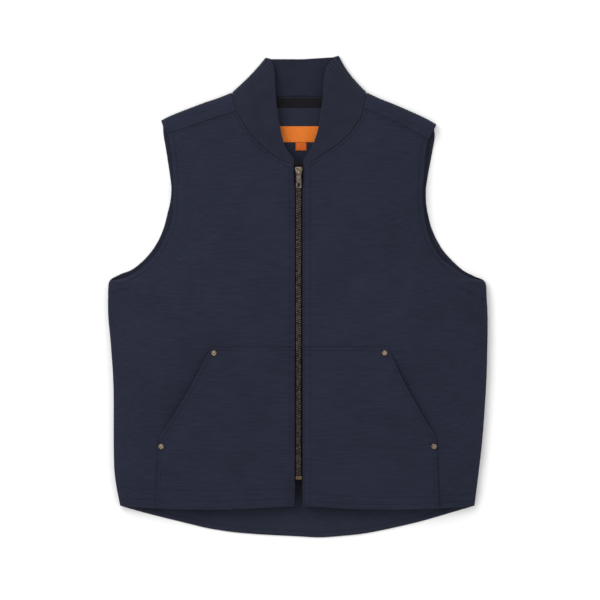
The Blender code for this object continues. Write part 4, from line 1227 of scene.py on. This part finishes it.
neck_edges = {}
for side in SIDES:
    _, used, notch_at = strips[side]
    edge = coarse[used[:, notch_at]]
    neck_edges[side] = (edge[:, :3], (edge[:, 3:] - edge[:, :3]) / CLOTH)
band = collar_grid(neck_edges)
fine = refined(band, COLLAR_STEP)
rows, columns = fine.shape[:2]
up = np.linalg.norm(fine[..., :3] - fine[:1, :, :3], axis=2)
ribs = np.dstack([np.broadcast_to(travel(fine[0, :, :3]), up.shape), up]).reshape(-1, 2)
outer, inner = layers_of(fine)
from_edge = np.minimum(np.arange(rows), np.arange(rows)[::-1])
calm = np.repeat(np.clip(from_edge / COLLAR_CALM_ROWS, 0, 1), columns)
waves = ripples(*outer[:, :2].T, COLLAR_SWELL_LENGTH, 5)
lift = COLLAR_SWELL * calm * waves * (outer[:, 2] > FOLD_HEIGHT)
outer[:, 2] += lift
inner[:, 2] += lift
collar = wall("rib_collar", outer, inner, grid_faces(rows, columns), [rib], ribs)
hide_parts("collar")
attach(collar, "vest")

# Hand pockets
# A patch over each front, open along its slanted mouth, with room for a hand inside.
PATCH = 0.0018
PATCH_SEAT = 0.0009
POCKET_MOUTH_GAP = 0.008
POCKET_ROOM = 0.0015
POCKET_STEP = 0.0021
POCKET_FURROW = 0.7


def drop_onto(trees, x, y):
    """The height of the highest surface under this plan point, or nothing."""
    hits = [tree.ray_cast(Vector((x, y, 1.0)), Vector((0, 0, -1)))[0] for tree in trees]
    heights = [hit.z for hit in hits if hit is not None]
    return max(heights) if heights else None


def pocket_grid(side, carrier):
    """The frame's grid of one pocket patch."""
    bottom, top, inner, outer, shares, seam_steps = pocket_outline(side)
    plan = coons(bottom, top, inner, outer, shares)
    rows, columns = plan.shape[:2]
    points = []
    for row in range(rows):
        mouth = np.clip((row - seam_steps) / (rows - 1 - seam_steps), 0, 1)
        for column in range(columns):
            across = shares[column]
            up = row / (rows - 1)
            opened = POCKET_MOUTH_GAP * math.sin(math.pi * mouth) * across**3
            room = POCKET_ROOM * 4 * up * (1 - up) * math.sin(math.pi * across)
            x, y = plan[row, column]
            points.append((x, y, drop_onto([carrier], x, y) + PATCH_SEAT + PATCH + opened + room))
    return np.array(points).reshape(rows, columns, 3)


def smooth_tree(side):
    """A tree of the frame's own front, without the fine relief, to lay the pocket on."""
    grid, faces, _ = front_grid(side)
    return BVHTree.FromPolygons(grid.reshape(-1, 3).tolist(), faces)


pockets = {}
for side in SIDES:
    grid = pocket_grid(side, smooth_tree(side))
    both = np.dstack([grid, grid + PATCH * DOWN])
    pockets[side] = relief_wall(f"duck_pocket_{side}", side, both, POCKET_STEP, POCKET_FURROW, [duck])
    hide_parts(f"pocket_{side}")
    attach(pockets[side], "vest")

# Topstitching
# Rows of short thread stitches sunk in the furrows of the cloth, each a small rounded capsule.
STITCH_PITCH = 0.0032
STITCH_LENGTH = 0.0025
STITCH_RADIUS = 0.00032
STITCH_SIDES = 6
STITCH_PROUD = 0.3 * STITCH_RADIUS
STITCH_UNEVEN = 0.08
LAY_STEP = 0.0016
LAY_JUMP = 0.0016
CORD_REACH = 0.97 * NECK_HALF
CORD_HEIGHT = 0.75 * CLOTH
CORD_UNEVEN = 0.05


def tree_of(obj):
    """A tree to drop points onto a finished piece."""
    bpy.context.view_layer.update()
    return BVHTree.FromObject(obj, bpy.context.evaluated_depsgraph_get())


def repeat_tree(name, along_line):
    """Geometry nodes that set a piece along lines, turned to follow them, or on each point."""
    tree = bpy.data.node_groups.new(name, "GeometryNodeTree")
    kinds = (
        ("Geometry", "NodeSocketGeometry"),
        ("Piece", "NodeSocketObject"),
        ("Pitch", "NodeSocketFloat"),
        ("Unevenness", "NodeSocketFloat"),
        ("Seed", "NodeSocketInt"),
        ("Material", "NodeSocketMaterial"),
    )
    for label, kind in kinds:
        tree.interface.new_socket(label, in_out="INPUT", socket_type=kind)
    tree.interface.new_socket("Geometry", in_out="OUTPUT", socket_type="NodeSocketGeometry")
    given = add(tree, "NodeGroupInput").outputs
    piece = add(tree, "GeometryNodeObjectInfo", {"Object": given["Piece"], "As Instance": True})
    low = combined(tree, "SUBTRACT", 1.0, given["Unevenness"])
    high = combined(tree, "ADD", 1.0, given["Unevenness"])
    chance = {2: low, 3: high, "Seed": given["Seed"]}
    size = add(tree, "FunctionNodeRandomValue", chance, data_type="FLOAT").outputs[1]
    inputs = {"Points": given["Geometry"], "Instance": piece.outputs["Geometry"], "Scale": size}
    if along_line:
        line = add(tree, "GeometryNodeMeshToCurve", {"Mesh": given["Geometry"]}).outputs["Curve"]
        even = {"Curve": line, "Length": given["Pitch"]}
        tangent = add(tree, "GeometryNodeInputTangent").outputs["Tangent"]
        turned = add(tree, "FunctionNodeAlignRotationToVector", {"Vector": tangent}, axis="X")
        inputs["Points"] = add(tree, "GeometryNodeResampleCurve", even, mode="LENGTH").outputs["Curve"]
        inputs["Rotation"] = turned.outputs["Rotation"]
    placed = add(tree, "GeometryNodeInstanceOnPoints", inputs).outputs["Instances"]
    real = add(tree, "GeometryNodeRealizeInstances", {"Geometry": placed}).outputs["Geometry"]
    done = add(tree, "GeometryNodeSetMaterial", {"Geometry": real, "Material": given["Material"]})
    add(tree, "NodeGroupOutput", {"Geometry": done.outputs["Geometry"]})
    return tree


along_lines = repeat_tree("piece_along_lines", True)
on_points = repeat_tree("piece_on_points", False)


def repeated(name, lines, piece, tree, finish, pitch=1.0, unevenness=0.0, seed=1):
    """One plain mesh of a piece repeated along these lines, or on their points."""
    points, edges = [], []
    for line in lines:
        edges += [(len(points) + i, len(points) + i + 1) for i in range(len(line) - 1)]
        points += [tuple(point) for point in line]
    mesh = bpy.data.meshes.new(f"{name}_lines")
    mesh.from_pydata(points, edges, [])
    carrier = place(f"{name}_lines", mesh)
    given = {"Piece": piece, "Pitch": pitch, "Unevenness": unevenness, "Seed": seed, "Material": finish}
    modifier = carrier.modifiers.new("repeat", "NODES")
    modifier.node_group = tree
    for item in tree.interface.items_tree:
        if item.in_out == "INPUT" and item.name in given:
            modifier[item.identifier] = given[item.name]
    carrier.update_tag()
    bpy.context.view_layer.update()
    graph = bpy.context.evaluated_depsgraph_get()
    made = bpy.data.meshes.new_from_object(carrier.evaluated_get(graph), depsgraph=graph)
    made.name = name
    bpy.data.objects.remove(carrier)
    bpy.data.meshes.remove(mesh)
    return place(name, made)


def skinned(rings):
    """A closed form through rings of points, all with the same count, with both ends capped."""
    made = bmesh.new()
    rings = [[made.verts.new(point) for point in ring] for ring in rings]
    for low, high in zip(rings, rings[1:]):
        for step in range(len(low)):
            after = (step + 1) % len(low)
            made.faces.new((low[step], low[after], high[after], high[step]))
    made.faces.new(rings[0][::-1])
    made.faces.new(rings[-1])
    bmesh.ops.recalc_face_normals(made, faces=made.faces)
    return made


def to_mesh(name, form):
    """A mesh of a form, shaded smooth. The form is spent."""
    mesh = bpy.data.meshes.new(name)
    form.to_mesh(mesh)
    form.free()
    mesh.shade_smooth()
    return mesh


def turned_profile(name, profile, sides, axis="Z"):
    """A round piece from rows of radius and height, smooth, its axis along Z or X."""
    turns = [2 * math.pi * step / sides for step in range(sides)]
    rings = []
    for radius, height in profile:
        ring = [(radius * math.cos(turn), radius * math.sin(turn)) for turn in turns]
        rings.append([(a, b, height) if axis == "Z" else (height, a, b) for a, b in ring])
    return place(name, to_mesh(name, skinned(rings)))


def dropped(lines, pieces):
    """These plan lines laid on the highest surface of the pieces, and broken where it steps."""
    trees = [tree_of(piece) for piece in pieces]
    laid = []
    for line in lines:
        runs = [[]]
        for x, y, _ in line_samples([line], LAY_STEP):
            z = drop_onto(trees, x, y)
            if z is None or (runs[-1] and abs(z - runs[-1][-1][2] + STITCH_PROUD) > LAY_JUMP):
                runs.append([])
            if z is not None:
                runs[-1].append((x, y, z + STITCH_PROUD))
        laid += [run for run in runs if len(run) > 2]
    return laid


half = 0.5 * STITCH_LENGTH
ends = [(0.25 * STITCH_RADIUS, -half), (STITCH_RADIUS, -0.7 * half)]
capsule_profile = ends + [(radius, -x) for radius, x in ends[::-1]]
capsule = turned_profile("stitch", capsule_profile, STITCH_SIDES, "X")
cord_x = np.linspace(NECK_SHIFT - CORD_REACH, NECK_SHIFT + CORD_REACH, 120)
neck_cord = [(x, float(back_neck_y(x)) + 0.5 * SEAM_GAP, CORD_HEIGHT) for x in cord_x]
laid = {side: dropped(seams[side], (fronts[side], pockets[side])) for side in SIDES}
# Columns: name; lines; pitch; unevenness; seed
stitch_rows = [
    ("topstitch_left", laid["left"], STITCH_PITCH, STITCH_UNEVEN, 3),
    ("topstitch_right", laid["right"], STITCH_PITCH, STITCH_UNEVEN, 3),
    ("topstitch_tail", dropped(tail_seams, [back]), STITCH_PITCH, STITCH_UNEVEN, 4),
    ("neck_seam_cord", [neck_cord], half, CORD_UNEVEN, 5),
]
stitches = []
for name, lines, *spacing in stitch_rows:
    stitches.append(repeated(name, lines, capsule, along_lines, thread, *spacing))
bpy.data.objects.remove(capsule)
for rows in stitches:
    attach(rows, "vest")

# Zip tapes and chain
# Black tapes lie behind the front edges, and their ends show above the slider. The closed chain
# is two rows of brass teeth that take turns.
TAPE = 0.001
TAPE_SEAT = 0.00055
CHAIN_HALF = 0.0043
CHAIN_PROUD = 0.0006
TAPE_REACH = 0.016
TAPE_FROM_HEM = 0.004
SLIDER_BELOW_TOP = 0.001
SLIDER_LENGTH = 0.0135
CHAIN_INTO_SLIDER = 0.0061
ZIP_END_RISE = 0.050
ZIP_BOTTOM_Y = HEM_Y + ZIP_END_RISE
TAPE_END_RISE = 0.0092
ZIP_CLEAR = 0.0015
TOOTH_PITCH = 0.0030
TOOTH_REACH = 0.0036
TOOTH_WIDTH = 0.0017
TOOTH_HEIGHT = 0.0024
TOOTH_OUT = 0.0019
TOOTH_LEAN = 0.0004
TOOTH_ROOT = 0.0014
TOOTH_ROUND = 0.00045
TOOTH_UNEVEN = 0.03
TEETH_ABOVE_BOX = 0.0012
TAPE_ROWS = 230
TAPE_COLUMNS = 9
TAPE_END_NEAR = 0.0012
TAPE_END_FAR = 0.0125
TAPE_TOP_CLEAR = 0.004
CORE_INSIDE = 0.0001
CORE_BELOW = 0.8 * TOOTH_HEIGHT
CORE_THICKNESS = 0.0012
PATINA_RANGE = (0.35, 0.65)
PATINA_DEPTH = 0.00015


def metal(name, dark, light, roughness, grain):
    """Aged brass: a patina between two colours that also changes the gloss, over fine dents."""
    made, tree, shader = new_material(name)
    patina = noise(tree, stretched(tree, [grain] * 3), Detail=4.0)
    share = share_of(tree, patina, *PATINA_RANGE)
    gloss = {"Value": share, "To Min": roughness + 0.15, "To Max": roughness - 0.05}
    looks = {
        "Base Color": toned(tree, share, dark, light),
        "Normal": relief(tree, patina, 0.25, PATINA_DEPTH),
        "Roughness": add(tree, "ShaderNodeMapRange", gloss).outputs["Result"],
        "Metallic": 1.0,
    }
    fill(tree, shader, looks)
    return made


# Black twill tape: flat and dark, so the teeth and the slider stand out
slub = (0.001, 0.004, 0.004)
black_tape = woven(
    "black woven tape", "0D0C0E", "18171A", thread=0.0009, slub=slub, roughness=0.9, sheen=0.03, bump=0.5
)
# Antique brass: brown where the patina is thick, paler where teeth have rubbed
tooth_brass = metal("antique brass teeth", "3C3535", "7A706C", roughness=0.5, grain=0.004)
# Worn brass: the slider is handled most. Its bridge is painted paler, a painted highlight where the light
# catches the slider's top
slider_brass = metal("worn antique brass", "4A423C", "8C7F70", roughness=0.38, grain=0.003)
bridge_highlight_brass = metal("pale brass painted highlight", "8C7E6C", "C8B79E", roughness=0.3, grain=0.003)
# Gunmetal brass: the flat pull is a browner, greyer metal than its slider
pull_brass = metal("gunmetal brass", "463F3C", "766C68", roughness=0.42, grain=0.004)

smooth_fronts = [smooth_tree(side) for side in SIDES]


def zip_surface(y):
    """The fronts' upper surface beside the zip, at this distance along it."""
    y = min(y, ZIP_TOP_Y - ZIP_CLEAR)
    heights = [
        drop_onto([tree], front_edge_x(side, y) + SIGN[side] * ZIP_CLEAR, y)
        for side, tree in zip(SIDES, smooth_fronts)
    ]
    return min(heights)


tape_y = np.linspace(HEM_Y + TAPE_FROM_HEM, ZIP_TOP_Y + TAPE_END_RISE, TAPE_ROWS)
tape_shares = np.linspace(0, 1, TAPE_COLUMNS)
tape_layers = []
tape_quads = []
for side, carrier in zip(SIDES, smooth_fronts):
    sign = SIGN[side]
    spread = np.clip((tape_y - ZIP_TOP_Y + SLIDER_BELOW_TOP) / TAPE_END_RISE, 0, 1)
    closing = np.clip(4 * spread, 0, 1)
    near_edge = ZIP_X + sign * between(CHAIN_HALF + SEAM_GAP, TAPE_END_NEAR, closing)
    far_edge = ZIP_X + sign * between(TAPE_REACH, TAPE_END_FAR, spread)
    rows = []
    for y, near_x, far_x in zip(tape_y, near_edge, far_edge):
        far_z = drop_onto([carrier], ZIP_X + sign * TAPE_REACH, min(y, ZIP_TOP_Y - TAPE_TOP_CLEAR))
        z = between(zip_surface(y), far_z, tape_shares) - CLOTH - TAPE_SEAT
        x = between(near_x, far_x, tape_shares)
        rows.append(np.column_stack([x, np.full(TAPE_COLUMNS, y), z]))
    rows = np.array(rows)
    if side == "left":
        rows = rows[:, ::-1]
    tape_quads += grid_faces(TAPE_ROWS, TAPE_COLUMNS, len(tape_layers) * TAPE_ROWS * TAPE_COLUMNS)
    tape_layers.append(rows.reshape(-1, 3))
tape_top = np.vstack(tape_layers)
tapes = wall("zip_tapes", tape_top, tape_top + TAPE * DOWN, tape_quads, [black_tape])
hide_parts("zip_tape_left", "zip_tape_right")
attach(tapes, "vest")

slider_low = ZIP_TOP_Y - SLIDER_LENGTH - SLIDER_BELOW_TOP
chain_top = slider_low + CHAIN_INTO_SLIDER
tooth_size = (TOOTH_WIDTH, TOOTH_REACH + TOOTH_ROOT, TOOTH_HEIGHT)
tooth_form = bmesh.new()
bmesh.ops.create_cube(tooth_form, size=1)
bmesh.ops.scale(tooth_form, vec=tooth_size, verts=tooth_form.verts)
bmesh.ops.bevel(tooth_form, geom=tooth_form.edges, offset=TOOTH_ROUND, segments=2, affect="EDGES")
tooth = place("tooth", to_mesh("tooth", tooth_form))
rows = []
for step, side in enumerate(SIDES):
    start = ZIP_BOTTOM_Y + TEETH_ABOVE_BOX + 0.5 * step * TOOTH_PITCH
    x = ZIP_X - TOOTH_LEAN + SIGN[side] * TOOTH_OUT
    ys = np.arange(start, chain_top, 2 * TOOTH_PITCH)
    rows.append([(x, y, zip_surface(y) + CHAIN_PROUD - 0.5 * TOOTH_HEIGHT) for y in ys])
teeth = repeated("zip_teeth", rows, tooth, along_lines, tooth_brass, TOOTH_PITCH, TOOTH_UNEVEN, 7)
bpy.data.objects.remove(tooth)
core_y = np.linspace(ZIP_BOTTOM_Y + SEAM_GAP, chain_top, 120)
core_x = ZIP_X + np.linspace(-1, 1, 5) * (CHAIN_HALF - CORE_INSIDE)
core = np.array([(x, y, zip_surface(y) + CHAIN_PROUD - CORE_BELOW) for y in core_y for x in core_x])
core_quads = grid_faces(len(core_y), len(core_x))
core_wall = wall("zip_core", core, core + CORE_THICKNESS * DOWN, core_quads, [black_tape])
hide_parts("zip_chain")
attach(teeth, "vest")
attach(core_wall, "vest")

# Slider, pull and stop
# A shield-shaped slider with a bridge on top that holds the pull, and a box at the zip's foot.
# Each is cut from flat outlines with rounded edges.
SLIDER_PLATE = 0.0016
SLIDER_POST_HALF = 0.0030
BAIL_FROM_END = 0.0016
BAIL_LENGTH = 0.0049
BAIL_HALF = 0.0011
BAIL_WINDOW = 0.0026
BAIL_WIRE = 0.0012
PULL_LENGTH = 0.0265
PULL_HALF = 0.0046
PULL_NECK_HALF = 0.0037
PULL_SLOT_LENGTH = 0.0028
PULL_SLOT_PLAY = 0.0008
PULL_WINDOW_HALF = 0.0021
PULL_WINDOW = (0.0175, 0.0233)
PULL_THICKNESS = 0.0016
STOP_HALF = 0.0050
STOP_LENGTH = 0.0060
STOP_CORNER = 0.001
STOP_ROUND = 0.0005
POST_FRONT_HALF = 0.0016
POST_SETBACK = 0.0014
POST_CORNER = 0.0008
POST_ROUND = 0.0002
SHIELD_CORNER = 0.0016
SHIELD_ROUND = 0.00045
FOOT_ROUND = 0.0004
SUNK = 0.0005
BRIDGE_SQUARE = 0.6
BRIDGE_FOOT = 0.35
BRIDGE_SHARP = 0.9
BRIDGE_ROUND = 0.0003
PULL_SHOULDER = 0.008
PULL_SHOULDER_HALF = 0.0039
PULL_CORNER = 0.0012
PULL_SLOT_CORNER = 0.0006
PULL_WINDOW_CORNER = 0.0009
PULL_ROUND = 0.0003

# Columns: half width; distance up from the slider's lower end
SHIELD = (
    (0.0042, 0.0),
    (0.0047, 0.0045),
    (0.0062, 0.0095),
    (0.0056, 0.0129),
    (0.0016, 0.0135),
)


def cut_plate(outlines, low, high, bevel):
    """A flat plate from closed outlines, holes after the first, with rounded edges."""
    curve = bpy.data.curves.new("plate", "CURVE")
    curve.dimensions = "2D"
    curve.fill_mode = "BOTH"
    curve.extrude = 0.5 * (high - low) - bevel
    curve.bevel_depth = bevel
    curve.bevel_resolution = 2
    curve.offset = -bevel
    for outline in outlines:
        spline = curve.splines.new("POLY")
        spline.points.add(len(outline) - 1)
        for point, (x, y) in zip(spline.points, outline):
            point.co = (x, y, 0, 1)
        spline.use_cyclic_u = True
    carrier = place("plate", curve)
    carrier.location.z = 0.5 * (low + high)
    bpy.context.view_layer.update()
    graph = bpy.context.evaluated_depsgraph_get()
    mesh = bpy.data.meshes.new_from_object(carrier.evaluated_get(graph))
    mesh.transform(carrier.matrix_world)
    bpy.data.objects.remove(carrier)
    bpy.data.curves.remove(curve)
    return mesh


def joined(name, meshes, finish):
    """One object of these meshes, shaded smooth across shallow angles."""
    made = bmesh.new()
    for mesh in meshes:
        made.from_mesh(mesh)
        bpy.data.meshes.remove(mesh)
    bmesh.ops.remove_doubles(made, verts=made.verts, dist=TINY)
    bmesh.ops.recalc_face_normals(made, faces=made.faces)
    mesh = to_mesh(name, made)
    mesh.materials.clear()
    mesh.materials.append(finish)
    mesh.set_sharp_from_angle(angle=math.radians(50))
    return place(name, mesh)


def rounded(outline, radius, steps=5):
    """A closed outline with its corners rounded."""
    outline = np.array(outline, float)
    neighbours = (np.roll(outline, 1, axis=0), outline, np.roll(outline, -1, axis=0))
    done = []
    for before, corner, after in zip(*neighbours):
        into, out = before - corner, after - corner
        reach = min(radius, 0.45 * np.linalg.norm(into), 0.45 * np.linalg.norm(out))
        start = corner + into / np.linalg.norm(into) * reach
        end = corner + out / np.linalg.norm(out) * reach
        for t in np.linspace(0, 1, steps):
            done.append(start * (1 - t) ** 2 + 2 * corner * t * (1 - t) + end * t**2)
    return np.array(done)


def mirrored(half_outline):
    """A closed outline from rows of half width and distance along the zip."""
    right = [(ZIP_X + half, y) for half, y in half_outline]
    left = [(ZIP_X - half, y) for half, y in half_outline[::-1]]
    return right + left


surface_low, surface_high = sorted((zip_surface(slider_low), zip_surface(chain_top)))
plate_low = surface_high + CHAIN_PROUD + SEAM_GAP
plate_high = plate_low + SLIDER_PLATE
foot_high = surface_low - CLOTH - TAPE_SEAT - TAPE - 2 * SEAM_GAP
slider_high = slider_low + SLIDER_LENGTH
shield = rounded(mirrored([(half, slider_low + up) for half, up in SHIELD]), SHIELD_CORNER)
post_ends = [(POST_FRONT_HALF, chain_top + SEAM_GAP), (SLIDER_POST_HALF, slider_high - POST_SETBACK)]
post = rounded(mirrored(post_ends), POST_CORNER)
bridge_low = slider_low + BAIL_FROM_END
bridge_high = bridge_low + BAIL_LENGTH


def bridge_mesh():
    """The arched bridge over the pull's bar: a bent band along the zip, thicker at its feet."""
    middle_y = 0.5 * (bridge_low + bridge_high)
    rings = []
    for turn in np.linspace(0, math.pi, 17):
        flat = math.copysign(abs(math.cos(turn)) ** BRIDGE_SQUARE, math.cos(turn))
        high = math.sin(turn) ** BRIDGE_SQUARE
        half = BAIL_HALF * (1 + BRIDGE_FOOT - BRIDGE_FOOT * high)
        ring = []
        for out, up in ((-1, 0), (1, 0), (1, 1), (-1, 1)):
            y = middle_y + (0.5 * BAIL_LENGTH - (1 - up) * BAIL_WIRE) * flat
            z = plate_high - SUNK + (BAIL_WINDOW + SUNK + up * BAIL_WIRE) * high
            ring.append((ZIP_X + half * out, y, z))
        rings.append(ring)
    made = skinned(rings)
    sharp = [edge for edge in made.edges if edge.calc_face_angle(0) > BRIDGE_SHARP]
    bmesh.ops.bevel(made, geom=sharp, offset=BRIDGE_ROUND, segments=2, affect="EDGES")
    return to_mesh("bridge", made)


slider = joined(
    "zip_slider_body",
    [
        cut_plate([shield], plate_low, plate_high, SHIELD_ROUND),
        cut_plate([shield], foot_high - SLIDER_PLATE, foot_high, FOOT_ROUND),
        cut_plate([post], foot_high - SUNK, plate_low + SUNK, POST_ROUND),
    ],
    slider_brass,
)
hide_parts("zip_slider")
# The bridge's paler brass is a painted highlight on the top of the slider
bridge = joined("zip_slider_bridge", [bridge_mesh()], bridge_highlight_brass)
for piece in (slider, bridge):
    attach(piece, "vest")

bar = 0.5 * PULL_THICKNESS
axis_y = bridge_low + BAIL_WIRE + bar + SEAM_GAP
axis_z = plate_high + bar + SEAM_GAP
slot_half = BAIL_HALF + PULL_SLOT_PLAY
slot_end = bar + PULL_SLOT_LENGTH
# Columns: half width and distance down from the hinge along the outline; radius of its corners
pull_cuts = (
    (
        (
            (PULL_NECK_HALF, -bar),
            (PULL_NECK_HALF, slot_end),
            (PULL_SHOULDER_HALF, PULL_SHOULDER),
            (PULL_HALF, PULL_WINDOW[0]),
            (PULL_HALF, PULL_LENGTH - bar),
        ),
        PULL_CORNER,
    ),
    (((slot_half, bar), (slot_half, slot_end)), PULL_SLOT_CORNER),
    ([(PULL_WINDOW_HALF, down) for down in PULL_WINDOW], PULL_WINDOW_CORNER),
)
outlines = []
for rows, radius in pull_cuts:
    outlines.append(rounded(mirrored([(half, axis_y - down) for half, down in rows]), radius))
pull_plate = cut_plate(outlines, axis_z - bar, axis_z + bar, PULL_ROUND)
pull = joined("zip_pull_tab", [pull_plate], pull_brass)
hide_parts("zip_pull")
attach(pull, "pull")

stop_top = zip_surface(ZIP_BOTTOM_Y - 0.5 * STOP_LENGTH) + 2 * CHAIN_PROUD
stop_ends = [(STOP_HALF, ZIP_BOTTOM_Y - STOP_LENGTH), (STOP_HALF, ZIP_BOTTOM_Y)]
stop_outline = rounded(mirrored(stop_ends), STOP_CORNER)
stop_plate = cut_plate([stop_outline], stop_top - CLOTH - CHAIN_PROUD, stop_top, STOP_ROUND)
# Tarnished brass: the box at the foot is seldom touched, so it keeps its dark yellow-brown skin
box_brass = metal("tarnished brass", "3B3226", "7A6B4C", roughness=0.55, grain=0.002)
stop = joined("zip_box", [stop_plate], box_brass)
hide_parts("zip_stop")
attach(stop, "vest")

# Pocket rivets
# Domed caps with a raised rim and a small nipple, one at each end of both pocket mouths.
RIVET_SIDES = 40

# Columns: share of the rivet's radius; share of its height
RIVET_SECTION = (
    (1.00, 0.00),
    (1.00, 0.35),
    (0.96, 0.62),
    (0.86, 0.82),
    (0.72, 0.84),
    (0.60, 0.66),
    (0.50, 0.60),
    (0.44, 0.74),
    (0.34, 0.94),
    (0.18, 1.00),
    (0.04, 1.00),
)
RIVET_NODES = ("rivet_upper_left", "rivet_lower_left", "rivet_upper_right", "rivet_lower_right")
rivet_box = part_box(RIVET_NODES[0])
rivet_radius = 0.5 * (rivet_box[1][0] - rivet_box[0][0])
rivet_height = rivet_box[1][2] - rivet_box[0][2]
cap_profile = [(out * rivet_radius, up * rivet_height) for out, up in RIVET_SECTION]
cap = turned_profile("cap", cap_profile, RIVET_SIDES)
rivet_points = []
for node in RIVET_NODES:
    low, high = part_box(node)
    rivet_points.append((0.5 * (low[0] + high[0]), 0.5 * (low[1] + high[1]), low[2]))
# Rubbed brass: warm pale patches over a brown ground
rivet_brass = metal("rubbed antique brass", "483D33", "A08E7B", roughness=0.42, grain=0.002)
rivets = repeated("pocket_rivets", [[point] for point in rivet_points], cap, on_points, rivet_brass)
bpy.data.objects.remove(cap)
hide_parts(*RIVET_NODES)
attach(rivets, "vest")

# Trim inside the back neck
# A black tape over the neck seam, the hanger loop above it, and two bare woven labels.
NECK_TAPE_WIDTH = 0.0160
NECK_TAPE_BELOW = 0.0018
NECK_TAPE_END_CLEAR = 0.0155
LOOP_X = 0.0066
LOOP_ABOVE_SEAM = 0.0002
LOOP_HALF = 0.0170
LOOP_RISE = 0.0065
LOOP_BAND = 0.0035
LOOP_THICKNESS = 0.0012
LOOP_CORNER = 0.7
LABEL_HALF = 0.035
LABEL_HEIGHT = 0.0265
LABEL_BELOW_NECK = 0.049
SIZE_TAB_HALF = 0.0090
SIZE_TAB_HEIGHT = 0.0133
SIZE_TAB_X = 0.0058
LABEL_THICKNESS = 0.0008
LABEL_STEP = 0.001
LABEL_WAVE = 0.00015
NECK_TAPE_WAVE = 0.0002
TRIM_WAVE_LENGTH = 0.012


def loop_line(base_y, half, height):
    """An arch seen from above: up one leg, over, and down the other."""
    z = RIB_KNIT + SEAM_GAP + LOOP_THICKNESS
    corner = LOOP_CORNER * height
    line = [(LOOP_X - half, base_y, z)]
    for turn in np.linspace(math.pi, 0, 9):
        middle = LOOP_X + math.copysign(half - corner, math.cos(turn))
        y = base_y + height - corner + corner * math.sin(turn)
        line.append((middle + corner * math.cos(turn), y, z))
    return line + [(LOOP_X + half, base_y, z)]


def flat_piece(name, lows, highs, thickness, rows, finish, wave=0.0, seed=1):
    """A thin band between two rows of points, with low waves on its upper side."""
    grid = np.array([between(lows, highs, share) for share in np.linspace(0, 1, rows)])
    top = grid.reshape(-1, 3)
    under = top + thickness * DOWN
    top[:, 2] -= wave * (0.5 + 0.5 * ripples(*top[:, :2].T, TRIM_WAVE_LENGTH, seed))
    return wall(name, top, under, grid_faces(*grid.shape[:2]), [finish])


inside_z = CLOTH + SEAM_GAP
tape_reach = NECK_HALF - NECK_TAPE_END_CLEAR
xs = NECK_SHIFT + np.linspace(-tape_reach, tape_reach, 160)
highs = np.array([(x, back_neck_y(x) - NECK_TAPE_BELOW, inside_z + TAPE) for x in xs])
lows = highs - (0, NECK_TAPE_WIDTH, 0)
neck_tape = flat_piece("neck_seam_tape", lows, highs, TAPE, 14, black_tape, NECK_TAPE_WAVE, 31)
# Woven label: satin weave in plain orange, with a slight sheen and no lettering
slub = (0.004, 0.0006, 0.0006)
orange = woven(
    "orange satin label", "D2681A", "E47D2C", thread=0.0006, slub=slub, roughness=0.6, sheen=0.1, bump=0.3
)
# Woven tab: a deeper orange than the label above it
deep_orange = woven(
    "deep orange tab", "B84E16", "D8661F", thread=0.0006, slub=slub, roughness=0.6, sheen=0.1, bump=0.3
)
label_y = float(back_neck_y(0)) - LABEL_BELOW_NECK
size_tab_y = label_y - LABEL_HEIGHT - SEAM_GAP
# Columns: middle and half width; upper edge and height; finish
plates = {
    "label": (0.0, LABEL_HALF, label_y, LABEL_HEIGHT, orange),
    "size_tab": (SIZE_TAB_X, SIZE_TAB_HALF, size_tab_y, SIZE_TAB_HEIGHT, deep_orange),
}
trim = {"neck_tape": neck_tape}
for node, (middle, half, high, height, finish) in plates.items():
    xs = np.linspace(middle - half, middle + half, max(12, int(2 * half / LABEL_STEP)))
    highs = np.array([(x, high, inside_z + LABEL_THICKNESS) for x in xs])
    lows = highs - (0, height, 0)
    trim[node] = flat_piece(f"woven_{node}", lows, highs, LABEL_THICKNESS, 24, finish, LABEL_WAVE, 37)
base_y = float(back_neck_y(LOOP_X)) + LOOP_ABOVE_SEAM
loop_outer = loop_line(base_y, LOOP_HALF, LOOP_RISE)
loop_inner = loop_line(base_y, LOOP_HALF - LOOP_BAND, LOOP_RISE - LOOP_BAND)
trim["hanger_loop"] = flat_piece("hanger_band", loop_inner, loop_outer, LOOP_THICKNESS, 5, duck)
for node, piece in trim.items():
    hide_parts(node)
    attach(piece, "vest")
